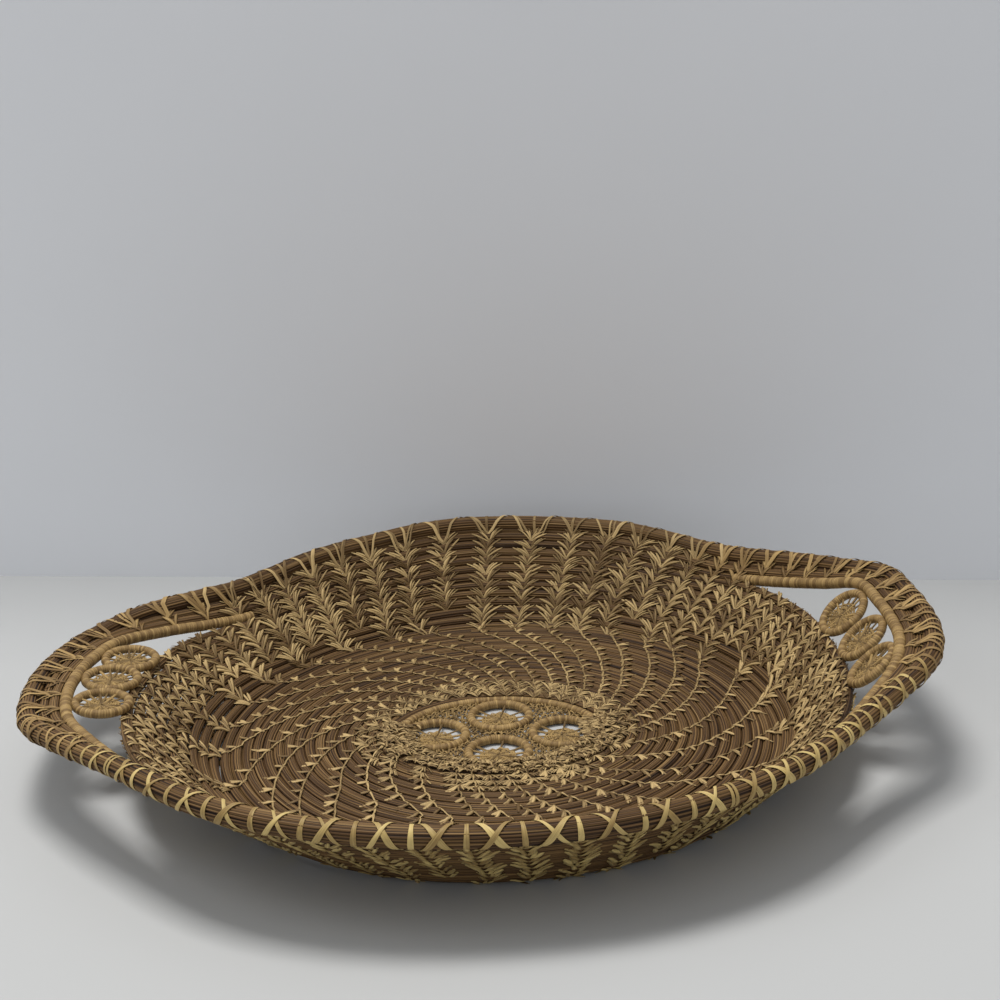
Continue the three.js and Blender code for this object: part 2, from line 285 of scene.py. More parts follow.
lamp("ceiling_light", (-0.3, 0.28, 2.4), 0.8, 45, (1.0, 0.985, 0.96))
lamp("window_left", (-1.6, 0.0, 1.6), 0.9, 5, (0.97, 0.99, 1.0))
lamp("fill_front", (0.1, -2.1, 2.4), 1.2, 2, (1.0, 1.0, 1.0))

# %% [markdown]
# ## The path of the coil
# Every wound piece of the frame is a tube whose cross sections stand square round the middle of the floor.
# The lesson reads the middle of each cross section, strings them together in order, and gets one path: the
# angle turned so far, the distance from the middle and the height. Everything else is laid along it. The
# spiral could also be worked out again from its sizes, but read from the frame it stays on the solids.

# %% Reading a wound piece
same_angle = 1e-3
full_turn = 2 * math.pi


def turn_between(start, end):
    """The shorter turn from one angle to another, left turns counted up."""
    return (end - start + math.pi) % full_turn - math.pi


def section_middles(node):
    """The middles of a wound piece's cross sections, in order round to the left."""
    mesh = frame["nodes"][node].data
    seen = {}
    corner = [seen.setdefault(tuple(round(c, 6) for c in vertex.co), len(seen)) for vertex in mesh.vertices]
    places = np.array(list(seen))
    angles = np.arctan2(places[:, 1] - centre.y, places[:, 0] - centre.x)
    owner = list(range(len(places)))

    def section(spot):
        while owner[spot] != spot:
            owner[spot] = owner[owner[spot]]
            spot = owner[spot]
        return spot

    links = set()
    for face in mesh.polygons:
        ring = [corner[vertex] for vertex in face.vertices]
        for start, end in zip(ring, ring[1:] + ring[:1]):
            if abs(turn_between(angles[start], angles[end])) < same_angle:
                owner[section(start)] = section(end)
            else:
                links.add((start, end))
    beside = {}
    for start, end in links:
        beside.setdefault(section(start), set()).add(section(end))
        beside.setdefault(section(end), set()).add(section(start))
    members = {}
    for spot in range(len(places)):
        members.setdefault(section(spot), []).append(spot)
    order = [next(name for name in members if len(beside[name]) == 1)]
    while len(order) < len(members):
        order.append(next(name for name in beside[order[-1]] if name not in order[-2:]))
    middles = np.array([places[members[name]].mean(axis=0) for name in order])
    first, second = (math.atan2(spot[1] - centre.y, spot[0] - centre.x) for spot in middles[:2])
    if turn_between(first, second) < 0:
        middles = middles[::-1]
    return middles


# %% The whole path
coil_nodes = (
    "floor_coil", "wall_coil", "left_handle_bar", "front_upper_row", "right_handle_bar", "band_coil",
)
touching = 0.002
Path = namedtuple("Path", "turn radius height")


def as_path(middles):
    """The angle turned, the distance from the middle and the height at each spot."""
    angles = np.unwrap(np.arctan2(middles[:, 1] - centre.y, middles[:, 0] - centre.x))
    return Path(angles, np.hypot(middles[:, 0] - centre.x, middles[:, 1] - centre.y), middles[:, 2])


def closed_path(middles):
    """The path of a turn whose ends meet: they are brought together and the turn is laid three times."""
    path = as_path(middles)
    share = (path.turn - path.turn[0]) / (path.turn[-1] - path.turn[0]) - 0.5
    radius = path.radius - (path.radius[-1] - path.radius[0]) * share
    height = path.height - (path.height[-1] - path.height[0]) * share
    laps = [path.turn[:-1] + lap * full_turn for lap in (-1, 0, 1)]
    return Path(np.concatenate(laps), np.tile(radius[:-1], 3), np.tile(height[:-1], 3))


spots = []
spans = {}
for node in coil_nodes:
    middles = section_middles(node)
    if spots and np.linalg.norm(middles[0] - spots[-1]) < touching:
        middles = middles[1:]
    spans[node] = (len(spots) - 1 if spots else 0, len(spots) + len(middles) - 1)
    spots.extend(middles)
coil = as_path(np.array(spots))
rim = closed_path(section_middles("rim_coil"))
spans = {node: (coil.turn[first], coil.turn[last]) for node, (first, last) in spans.items()}
loops = (coil.turn[-1] - coil.turn[0]) / full_turn
length = np.linalg.norm(np.diff(np.array(spots), axis=0), axis=1).sum()
print("the coil makes", round(loops, 1), "loops and is", round(length, 1), "m long")

# %% Places along a path
row_pitch = 4.4 * MM
turn_step = math.radians(0.5)


def curve_through(knots, values, at):
    """A smooth curve through values at knots (cubic Hermite)."""
    slopes = np.gradient(values, knots)
    index = np.clip(np.searchsorted(knots, at) - 1, 0, len(knots) - 2)
    span = knots[index + 1] - knots[index]
    share = (at - knots[index]) / span
    return (
        values[index] * (1 + 2 * share) * (1 - share) ** 2
        + values[index + 1] * share**2 * (3 - 2 * share)
        + slopes[index] * span * share * (1 - share) ** 2
        - slopes[index + 1] * span * share**2 * (1 - share)
    )


def spot_at(path, turn):
    """Points in space at angles along a path."""
    radius = curve_through(path.turn, path.radius, turn)
    height = curve_through(path.turn, path.height, turn)
    return np.stack([centre.x + radius * np.cos(turn), centre.y + radius * np.sin(turn), height], axis=-1)


def unit(vectors):
    """The same ways, each one unit long."""
    return vectors / np.linalg.norm(vectors, axis=-1, keepdims=True)


def row_frame(turn):
    """At angles along the coil: the spot, the ways ahead, across to the next row, and out of the face."""
    spot = spot_at(coil, turn)
    ahead = unit(spot_at(coil, turn + turn_step) - spot_at(coil, turn - turn_step))
    inner = np.where(turn - full_turn < coil.turn[0], turn, turn - full_turn)
    outer = np.where(turn + full_turn > coil.turn[-1], turn, turn + full_turn)
    across = spot_at(coil, outer) - spot_at(coil, inner)
    across -= (across * ahead).sum(axis=-1, keepdims=True) * ahead
    across = unit(across)
    return spot, ahead, across, np.cross(across, ahead)


def row_gap(turn):
    """The distance from the middle of a row to the middle of the row inside it."""
    inner = np.where(turn - full_turn < coil.turn[0], turn, turn - full_turn)
    gap = np.linalg.norm(spot_at(coil, turn) - spot_at(coil, inner), axis=-1)
    return np.where(gap < row_pitch / 2, row_pitch, np.minimum(gap, row_pitch))


# %% [markdown]
# ## Lines for Geometry Nodes
# The trees below sweep a section along lines. A strand is such a line: its spots, the way its upper face
# looks, and its width. Many strands go into one mesh of edges, with those values as attributes. Curve
# objects would do too, but attributes are quicker to write on a mesh, and one node makes its edges curves.

# %% Strands
Strand = namedtuple("Strand", "spots face width closed", defaults=(False,))


def running_length(spots):
    """The way walked up to each spot."""
    steps = np.linalg.norm(np.diff(spots, axis=0), axis=1)
    return np.concatenate([[0], np.cumsum(steps)])


# Painted shade: an open strand is darker near its root, where it comes out from under the row, and reaches
# its own tone over the first 1.8 mm.
root_shade_length = 1.8 * MM
painted_root_shade = 0.4
tone_range = (0.05, 0.95)


def give(mesh, name, values):
    """Give a mesh an attribute: a number or a way for each of its points."""
    if values.ndim == 1:
        mesh.attributes.new(name, "FLOAT", "POINT").data.foreach_set("value", values)
    else:
        mesh.attributes.new(name, "FLOAT_VECTOR", "POINT").data.foreach_set("vector", values.ravel())


def line_mesh(name, strands, seed=0):
    """One mesh of lines, with the attributes up, width, along and tone; tone is darker near the roots as
    painted shade.
    """
    draw = random.Random(seed)
    faces = []
    edges = []
    along = []
    tones = []
    first = 0
    for strand in strands:
        count = len(strand.spots)
        forward = unit(np.gradient(strand.spots, axis=0))
        face = strand.face - (strand.face * forward).sum(axis=1, keepdims=True) * forward
        faces.append(unit(face))
        walked = running_length(strand.spots)
        along.append(walked + draw.random() * 10)
        # Painted shade at the root of each open strand
        shaded = 1.0 if strand.closed else np.interp(walked, (0, root_shade_length), (painted_root_shade, 1.0))
        tones.append(np.full(count, draw.uniform(*tone_range)) * shaded)
        edges.extend((first + i, first + i + 1) for i in range(count - 1))
        if strand.closed:
            edges.append((first + count - 1, first))
        first += count
    mesh = bpy.data.meshes.new(name)
    mesh.from_pydata(np.concatenate([strand.spots for strand in strands]), edges, [])
    widths = [np.broadcast_to(strand.width, len(strand.spots)) for strand in strands]
    give(mesh, "up", np.concatenate(faces))
    for label, values in (("width", widths), ("along", along), ("tone", tones)):
        give(mesh, label, np.concatenate(values))
    return mesh


# %% Making and running a tree
def geometry_tree(name, sizes):
    """A Geometry Nodes tree that takes a shape, named sizes and a material, and gives a shape."""
    tree = bpy.data.node_groups.new(name, "GeometryNodeTree")
    tree.interface.new_socket("Geometry", in_out="INPUT", socket_type="NodeSocketGeometry")
    tree.interface.new_socket("Geometry", in_out="OUTPUT", socket_type="NodeSocketGeometry")
    for label, value in sizes.items():
        kind = {int: "NodeSocketInt", float: "NodeSocketFloat"}.get(type(value), value)
        socket = tree.interface.new_socket(label, in_out="INPUT", socket_type=kind)
        if kind != value:
            socket.default_value = value
    tree.interface.new_socket("Material", in_out="INPUT", socket_type="NodeSocketMaterial")
    nodes = Nodes(tree)
    return nodes, nodes.add("NodeGroupInput").outputs


def end_tree(nodes, shape, material):
    """End a tree in real, smooth faces with their material."""
    real = nodes.add("GeometryNodeRealizeInstances", {"Geometry": shape}).outputs[0]
    smooth = nodes.add("GeometryNodeSetShadeSmooth", {"Geometry": real}).outputs[0]
    painted = nodes.add("GeometryNodeSetMaterial", {"Geometry": smooth, "Material": material}).outputs[0]
    nodes.add("NodeGroupOutput", {0: painted})
    return nodes.tree


def named(nodes, name, data_type="FLOAT"):
    """Read an attribute of the shape."""
    return nodes.add("GeometryNodeInputNamedAttribute", {"Name": name}, data_type=data_type).outputs[0]


def store(nodes, shape, name, value, data_type="FLOAT", domain="POINT"):
    """Write an attribute on the shape."""
    settings = {"data_type": data_type, "domain": domain}
    made = nodes.add("GeometryNodeStoreNamedAttribute", {"Geometry": shape, "Name": name}, **settings)
    nodes.feed(made.inputs["Value"], value)
    return made.outputs[0]


def faced_lines(nodes, shape):
    """The lines of a mesh as curves, with the attribute up as their upper side."""
    lines = nodes.add("GeometryNodeMeshToCurve", {"Mesh": shape}).outputs[0]
    faced = nodes.add("GeometryNodeSetCurveNormal", {"Curve": lines}, mode="FREE")
    nodes.feed(faced.inputs["Normal"], named(nodes, "up", "FLOAT_VECTOR"))
    return faced.outputs[0]


def sweep(nodes, lines, section):
    """Sweep a section along lines, as wide as they say."""
    inputs = {"Curve": lines, "Profile Curve": section, "Scale": named(nodes, "width"), "Fill Caps": True}
    return nodes.add("GeometryNodeCurveToMesh", inputs).outputs[0]


def swell(nodes, shape, lift):
    """Move a surface outwards."""
    offset = nodes.vector("SCALE", nodes.add("GeometryNodeInputNormal").outputs[0])
    nodes.feed(offset.node.inputs["Scale"], lift)
    return nodes.add("GeometryNodeSetPosition", {"Geometry": shape, "Offset": offset}).outputs[0]


def keep_above(nodes, shape, lowest):
    """Press flat what would lie lower than a height, because the basket stands on a table."""
    x, y, z = nodes.split(nodes.add("GeometryNodeInputPosition").outputs[0])
    place = nodes.combine(x, y, nodes.math("MAXIMUM", z, lowest))
    return nodes.add("GeometryNodeSetPosition", {"Geometry": shape, "Position": place}).outputs[0]


def grow(name, mesh, tree, sizes):
    """Run a tree on a mesh and keep the result as a plain mesh."""
    piece = bpy.data.objects.new(name, mesh)
    bpy.context.collection.objects.link(piece)
    modifier = piece.modifiers.new(tree.name, "NODES")
    modifier.node_group = tree
    for socket in tree.interface.items_tree:
        if socket.in_out == "INPUT" and socket.name in sizes:
            modifier[socket.identifier] = sizes[socket.name]
    seen = piece.evaluated_get(bpy.context.evaluated_depsgraph_get())
    finished = bpy.data.meshes.new_from_object(seen)
    piece.modifiers.remove(modifier)
    piece.data = finished
    finished.name = name
    bpy.data.meshes.remove(mesh)
    print(name, "has", len(finished.polygons), "faces")
    return piece


def dress(piece, slot, *nodes):
    """Attach a finished piece to the basket and hide the frame pieces it stands for; slot is not used."""
    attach(piece, "root")
    if nodes:
        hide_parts(*nodes)
    return piece


# %% [markdown]
# ## Finishes
# All materials share one effect: fine streaks that run along a strand. It is a node group, and each finish
# places it with its own numbers. The streaks follow an attribute that every strand carries: two numbers for
# the place round the strand and one for the way along it. A pattern laid through the whole basket would cut
# straight across the strands.

# %% Streaks
def streak_group():
    """A shader group: fine streaks along a strand, and slower changes of tone."""
    group = bpy.data.node_groups.new("strand_streaks", "ShaderNodeTree")
    group.interface.new_socket("Place", in_out="INPUT", socket_type="NodeSocketVector")
    for label, value in (("Fineness", 8.0), ("Stretch", 60.0), ("Slow scale", 20.0)):
        socket = group.interface.new_socket(label, in_out="INPUT", socket_type="NodeSocketFloat")
        socket.default_value = value
    for label in ("Fine", "Slow"):
        group.interface.new_socket(label, in_out="OUTPUT", socket_type="NodeSocketFloat")
    nodes = Nodes(group)
    given = nodes.add("NodeGroupInput").outputs
    x, y, z = nodes.split(given["Place"])
    long_way = nodes.math("MULTIPLY", z, given["Stretch"])
    fine_x = nodes.math("MULTIPLY", x, given["Fineness"])
    fine_y = nodes.math("MULTIPLY", y, given["Fineness"])
    fine = nodes.noise(nodes.combine(fine_x, fine_y, long_way), 1.0, 2.0)["Fac"]
    slow_way = nodes.math("MULTIPLY", z, given["Slow scale"])
    slow = nodes.noise(nodes.combine(x, y, slow_way), 1.0, 1.0)["Fac"]
    nodes.add("NodeGroupOutput", {0: fine, 1: slow})
    return group


streaks = streak_group()


def ramp(nodes, value, stops):
    """A colour ramp from a list of places and colours."""
    made = nodes.add("ShaderNodeValToRGB", {0: value})
    band = made.color_ramp
    while len(band.elements) < len(stops):
        band.elements.new(1.0)
    for element, (place, colour) in zip(band.elements, stops):
        element.position = place
        element.color = (*colour, 1)
    return made.outputs[0]


def attribute(nodes, name):
    """Read an attribute of the shape in a material."""
    return nodes.add("ShaderNodeAttribute", attribute_name=name).outputs


def feel_bump(nodes, shader, height, strength, depth):
    """Give a shader a fine relief."""
    bump = nodes.add("ShaderNodeBump", {"Height": height, "Strength": strength, "Distance": depth})
    nodes.feed(shader.inputs["Normal"], bump.outputs[0])


def multiply(nodes, colour, factor):
    """Darken or lighten a colour by a number."""
    grey = nodes.combine(factor, factor, factor)
    return nodes.vector("MULTIPLY", colour, grey)


# %% Needle finish
def needle_finish():
    """Dried pine needles: brown to purplish brown, each a little different, with painted shade in the
    grooves.
    """
    material, nodes, shader = new_finish("dried_pine_needles", 0.62, 0.2)
    grain = attribute(nodes, "grain")["Vector"]
    ridge = attribute(nodes, "ridge")["Fac"]
    marks = nodes.add("ShaderNodeGroup", {}, node_tree=streaks)
    for label, value in (("Place", grain), ("Fineness", 7.0), ("Stretch", 10.0), ("Slow scale", 9.0)):
        nodes.feed(marks.inputs[label], value)
    tone = nodes.math("ADD", marks.outputs["Fine"], nodes.spread(marks.outputs["Slow"], 0, 1, -0.14, 0.14))
    colour = ramp(
        nodes,
        tone,
        (
            (0.30, (0.016, 0.008, 0.004)),
            (0.42, (0.075, 0.038, 0.016)),
            (0.52, (0.135, 0.073, 0.026)),
            (0.62, (0.205, 0.118, 0.044)),
            (0.74, (0.340, 0.216, 0.090)),
        ),
    )
    # Painted shade: the colour falls to about a fifth in the grooves between needles
    groove = nodes.spread(ridge, 0.0, 0.6, 0.22, 1.0)
    nodes.feed(shader.inputs["Base Color"], multiply(nodes, colour, groove))
    fine = nodes.noise(nodes.vector("MULTIPLY", grain, (14.0, 14.0, 25.0)), 1.0, 1.0)["Fac"]
    feel_bump(nodes, shader, fine, 0.5, 0.2 * MM)
    return material


needles_finish = needle_finish()


# %% Raffia finishes
def raffia_finish(name, light, dark, roughness, fineness):
    """Raffia: a flat fibrous straw, pale to golden brown, streaked along its length."""
    material, nodes, shader = new_finish(name, roughness, 0.3)
    grain = attribute(nodes, "grain")["Vector"]
    own = attribute(nodes, "tone")["Fac"]
    marks = nodes.add("ShaderNodeGroup", {}, node_tree=streaks)
    for label, value in (("Place", grain), ("Fineness", fineness), ("Stretch", 40.0), ("Slow scale", 60.0)):
        nodes.feed(marks.inputs[label], value)
    fine = nodes.spread(marks.outputs["Fine"], 0.3, 0.7, -0.3, 0.3)
    slow = nodes.spread(marks.outputs["Slow"], 0.3, 0.7, -0.15, 0.15)
    tone = nodes.math("ADD", nodes.math("ADD", own, fine), slow, clamp=True)
    middle = [(a + b) / 2 for a, b in zip(light, dark)]
    colour = ramp(nodes, tone, ((0.0, dark), (0.5, middle), (1.0, light)))
    nodes.feed(shader.inputs["Base Color"], colour)
    feel_bump(nodes, shader, marks.outputs["Fine"], 0.6, 0.25 * MM)
    return material


stitch_finish = raffia_finish("raffia_stitches", (0.56, 0.395, 0.175), (0.125, 0.070, 0.022), 0.6, 3.0)
# Painted light: the dark end of this raffia is raised to brighten the outside of the wall, which lies in
# shade; the front lashing of the rim shares it.
lash_finish_with_painted_light = raffia_finish("raffia_lashing_with_painted_light", (0.62, 0.465, 0.18), (0.28, 0.180, 0.060), 0.5, 3.5)
wrap_finish = raffia_finish("raffia_wrapping", (0.44, 0.290, 0.112), (0.17, 0.098, 0.033), 0.6, 3.0)
lace_finish = raffia_finish("raffia_lace", (0.39, 0.255, 0.095), (0.09, 0.052, 0.017), 0.7, 3.0)

# %% [markdown]
# ## Needles
# A row is a bundle of a dozen long needles that lie side by side. One tree sweeps a fluted section along
# the path, so each flute is one needle, and slow noise makes the needles swell, sink and wander as they do
# in a hand made coil. Their streaks and swellings turn a little along the way, because the bundle is rolled
# as it is laid.
# Needles could be made one by one, but only the outer ones show, and flutes give these with fewer faces.


# %% Needle tree
def needle_tree():
    """Sweep a bundle of needles along lines."""
    sizes = {
        "Row width": row_pitch, "Row thickness": 4.2 * MM, "Needles": 11, "Groove": 0.2,
        "Wander": 0.5 * MM, "Roll": 1.2, "Lowest": 0.3 * MM,
    }
    nodes, given = geometry_tree("needle_bundle", sizes)
    lines = faced_lines(nodes, given["Geometry"])
    along = named(nodes, "along")
    slow = nodes.noise(nodes.combine(nodes.math("MULTIPLY", along, 6.0)), 1.0)["Fac"]
    roll = nodes.math("MULTIPLY", nodes.math("SUBTRACT", slow, 0.5), given["Roll"])

    count = nodes.math("MULTIPLY", given["Needles"], 3)
    ring = nodes.add("GeometryNodeCurvePrimitiveCircle", {"Resolution": count, "Radius": 0.5}).outputs[0]
    index = nodes.add("GeometryNodeInputIndex").outputs[0]
    groove = nodes.math("COMPARE", nodes.math("MODULO", index, 3.0), 0.0, 0.1)
    ridge = nodes.math("SUBTRACT", 1.0, groove)
    place = nodes.add("GeometryNodeInputPosition").outputs[0]
    round_way = nodes.vector("NORMALIZE", place)
    # The needle finish reads ridge to paint shade into the grooves
    ring = store(nodes, ring, "ridge", ridge)
    ring = store(nodes, ring, "round", round_way, "FLOAT_VECTOR")
    turn = nodes.math("SUBTRACT", 0.0, roll)
    deep = nodes.math("SUBTRACT", 1.0, nodes.math("MULTIPLY", groove, given["Groove"]))
    shaped = nodes.vector("MULTIPLY", place, nodes.combine(deep, deep, 1.0))
    flat = nodes.combine(given["Row thickness"], given["Row width"], 0.0)
    shaped = nodes.vector("MULTIPLY", shaped, flat)
    section = nodes.add("GeometryNodeSetPosition", {"Geometry": ring, "Position": shaped}).outputs[0]

    body = sweep(nodes, lines, section)
    x, y, z = nodes.split(named(nodes, "round", "FLOAT_VECTOR"))
    cosine = nodes.math("COSINE", turn)
    sine = nodes.math("SINE", turn)
    turned_x = nodes.math("SUBTRACT", nodes.math("MULTIPLY", x, cosine), nodes.math("MULTIPLY", y, sine))
    turned_y = nodes.math("ADD", nodes.math("MULTIPLY", x, sine), nodes.math("MULTIPLY", y, cosine))
    grain = nodes.combine(turned_x, turned_y, along)
    body = store(nodes, body, "grain", grain, "FLOAT_VECTOR")
    bulge = nodes.noise(nodes.vector("MULTIPLY", grain, (3.2, 3.2, 28.0)), 1.0, 1.0)["Fac"]
    lift = nodes.math("MULTIPLY", nodes.math("SUBTRACT", bulge, 0.5), given["Wander"])
    body = swell(nodes, body, nodes.math("MULTIPLY", lift, 2.0))
    body = keep_above(nodes, body, given["Lowest"])
    return end_tree(nodes, body, given["Material"])


bundle = needle_tree()

# %% Needle rows
needle_step = 2.8 * MM
coil_pieces = ("floor_coil", "wall_coil", "front_upper_row", "band_coil")
row_overlap = 1.03
taper_turn = 0.35


def even_turns(path, start, end, step):
    """Angles along a path, an even distance apart."""
    fine = np.linspace(start, end, max(2, int((end - start) / turn_step)))
    walked = running_length(spot_at(path, fine))
    count = max(2, int(round(walked[-1] / step)) + 1)
    return np.interp(np.linspace(0, walked[-1], count), walked, fine)


def row_strand(node):
    """The needle bundle of one stretch of the coil."""
    start, end = spans[node]
    turns = even_turns(coil, start, end, needle_step)
    spot, ahead, across, out = row_frame(turns)
    width = row_gap(turns) / row_pitch * row_overlap
    if node == "floor_coil":
        width *= np.interp((turns - start) / taper_turn, (0, 1), (0.35, 1))
    if node == "band_coil":
        width *= np.interp((end - turns) / taper_turn, (0, 1), (0.2, 1))
    return Strand(spot, out, width)


for node in coil_pieces:
    lines = line_mesh(node + "_lines", [row_strand(node)], seed=len(node))
    rows = grow(node + "_needles", lines, bundle, {"Material": needles_finish})
    dress(rows, "pine_needles", node)

# %% [markdown]
# ## Rim
# The rim is the same bundle, but twice as thick, closed round the top. It needs no tree of its own: the
# needle tree takes other sizes, and its line is a closed loop, so no seam has to be hidden.

# %% Rim
rim_width = 8 * MM


def rim_frame(turn):
    """At angles round the rim: the spot, the ways ahead, out of the basket, and up."""
    spot = spot_at(rim, turn)
    ahead = unit(spot_at(rim, turn + turn_step) - spot_at(rim, turn - turn_step))
    upright = np.broadcast_to(np.array([0.0, 0.0, 1.0]), spot.shape)
    out = unit(np.cross(ahead, upright))
    return spot, ahead, out, np.cross(out, ahead)


turns = even_turns(rim, 0, full_turn, needle_step)[:-1]
spot, ahead, out, up = rim_frame(turns)
rim_line = line_mesh("rim_line", [Strand(spot, up, 1.0, True)], seed=5)
rim_sizes = {
    "Row width": rim_width, "Row thickness": rim_width, "Needles": 19, "Groove": 0.13, "Wander": 0.6 * MM,
    "Material": needles_finish,
}
dress(grow("rim_needles", rim_line, bundle, rim_sizes), "pine_needles", "rim_coil")

# %% The end of the coil
# It thins away in the wedge between the row below and the rim
tail_before, tail_after = 0.25, 1.3
tail_start = spans["band_coil"][1] - full_turn
tail_turns = even_turns(coil, tail_start - tail_before, tail_start + tail_after, needle_step)
below, ahead, across, out = row_frame(tail_turns)
fade = np.linspace(1, 0, len(tail_turns))
inner = below + (spot_at(rim, tail_turns % full_turn) - below) * (0.5 - 0.1 * (1 - fade))[:, None]
tail_line = line_mesh("tail_line", [Strand(inner, out, 0.25 + 0.65 * fade)], seed=15)
dress(grow("coil_tail", tail_line, bundle, {"Material": needles_finish}), "pine_needles")

# %% [markdown]
# ## Wrapped bars, rings and hoop
# The handle bars, the craft rings and the oval hoop are wound closely with raffia, square to the cord. A
# second tree sweeps a round section and raises one ridge for each wrap. A real strand wound round and
# round would look the same, because the turns lie so close that only their backs show.


# %% Wrap tree
def wrap_tree():
    """Sweep a closely wrapped cord along lines."""
    sizes = {"Cord diameter": 4.2 * MM, "Wrap width": 1.0 * MM, "Ridge": 0.22 * MM, "Slant": 0.12}
    nodes, given = geometry_tree("wrapped_cord", sizes)
    lines = faced_lines(nodes, given["Geometry"])
    sampled = nodes.add("GeometryNodeResampleCurve", {"Curve": lines}, mode="LENGTH")
    nodes.feed(sampled.inputs["Length"], nodes.math("DIVIDE", given["Wrap width"], 4.0))
    walked = nodes.add("GeometryNodeSplineParameter").outputs["Length"]
    whole = nodes.add("GeometryNodeSplineLength").outputs["Length"]
    count = nodes.math("ROUND", nodes.math("DIVIDE", whole, given["Wrap width"]))
    wraps = nodes.math("MULTIPLY", nodes.math("DIVIDE", walked, whole), count)
    cord = store(nodes, sampled.outputs[0], "wraps", wraps)
    radius = nodes.math("DIVIDE", given["Cord diameter"], 2.0)
    ring = nodes.add("GeometryNodeCurvePrimitiveCircle", {"Resolution": 12, "Radius": radius}).outputs[0]
    place = nodes.add("GeometryNodeInputPosition").outputs[0]
    ring = store(nodes, ring, "round", nodes.vector("NORMALIZE", place), "FLOAT_VECTOR")
    body = sweep(nodes, cord, ring)
    x, y, z = nodes.split(named(nodes, "round", "FLOAT_VECTOR"))
    phase = nodes.math("ADD", named(nodes, "wraps"), nodes.math("MULTIPLY", x, given["Slant"]))
    number = nodes.math("FLOOR", phase)
    within = nodes.math("FRACT", phase)
    hump = nodes.math("SINE", nodes.math("MULTIPLY", within, math.pi))
    own = nodes.add("ShaderNodeTexWhiteNoise", {"W": number}, noise_dimensions="1D").outputs["Value"]
    high = nodes.math("ADD", nodes.math("MULTIPLY", own, 0.5), 0.6)
    lift = nodes.math("MULTIPLY", nodes.math("MULTIPLY", hump, high), given["Ridge"])
    lift = nodes.math("SUBTRACT", lift, nodes.math("MULTIPLY", given["Ridge"], 0.5))
    # Painted shade: each wrap's own tone darkens towards its edges, where one turn meets the next
    body = store(nodes, body, "tone", nodes.math("MULTIPLY", own, nodes.spread(hump, 0, 0.6, 0.2, 1.0)))
    far = nodes.math("MULTIPLY", number, 3.7)
    grain = nodes.combine(nodes.math("MULTIPLY", within, 1.5), far, nodes.math("MULTIPLY", y, 0.01))
    body = store(nodes, body, "grain", grain, "FLOAT_VECTOR")
    return end_tree(nodes, swell(nodes, body, lift), given["Material"])


wrapping = wrap_tree()
wrap_sizes = {"Material": wrap_finish}
bar_cord = 4.9 * MM
wrap_overrun = 0.02
line_step = 1.5 * MM

# %% Handle bars
for node in ("left_handle_bar", "right_handle_bar"):
    start, end = spans[node]
    turns = even_turns(coil, start - wrap_overrun, end + wrap_overrun, line_step)
    spot, ahead, across, out = row_frame(turns)
    bar = line_mesh(node + "_line", [Strand(spot, out, 1.0)])
    sizes = {**wrap_sizes, "Cord diameter": bar_cord}
    dress(grow(node + "_wrapped", bar, wrapping, sizes), "raffia_wrap", node)


# %% Rings and hoop
def oval_frame(node):
    """An oval cord's middle, its half sizes along its two axes, the axes and its upward side."""
    mesh = frame["nodes"][node].data
    vertices = np.array(sorted({tuple(round(c, 6) for c in vertex.co) for vertex in mesh.vertices}))
    middle = (vertices.max(axis=0) + vertices.min(axis=0)) / 2
    offsets = vertices - middle
    long_way, short_way, axis = np.linalg.svd(offsets, full_matrices=False)[2]
    cord_radius = np.abs(offsets @ axis).max()
    halves = [np.abs(offsets @ way).max() - cord_radius for way in (long_way, short_way)]
    if axis[2] < 0:
        axis = -axis
    return middle, halves, long_way, short_way, axis


circle_points = 96


def oval_line(node, wider):
    """The closed middle line of an oval cord, laid a little wider."""
    middle, halves, long_way, short_way, axis = oval_frame(node)
    halves = [half + wider for half in halves]
    angle = np.linspace(0, full_turn, circle_points, endpoint=False)[:, None]
    spots = middle + halves[0] * np.cos(angle) * long_way + halves[1] * np.sin(angle) * short_way
    return Strand(spots, axis, 1.0, True)


ring_nodes = sorted(name for name in frame["nodes"] if "_ring_" in name)
ring_cord = 3.6 * MM
ring_growth = 1.3 * MM
floor_ring_growth = 0.9 * MM


def growth_of(node):
    """How much wider than in the frame a ring is laid, so that it touches its neighbours."""
    if "hoop" in node:
        return 0.0
    return floor_ring_growth if node.startswith("centre") else ring_growth


for node in ring_nodes + ["centre_hoop"]:
    circle = line_mesh(node + "_line", [oval_line(node, growth_of(node))])
    sizes = {**wrap_sizes, "Cord diameter": ring_cord, "Ridge": 0.18 * MM}
    dress(grow(node + "_wrapped", circle, wrapping, sizes), "raffia_wrap", node)

# %% [markdown]
# ## Raffia strands
# Raffia is a flat fibrous leaf strip. A third tree sweeps a thin section, with or without lengthwise
# creases, along lines. It makes the shapes of single stitches, the lashing of the rim and the lace, so the
# raffia is alike all over. Another tree lays small shapes on points, for what repeats too often to be drawn.


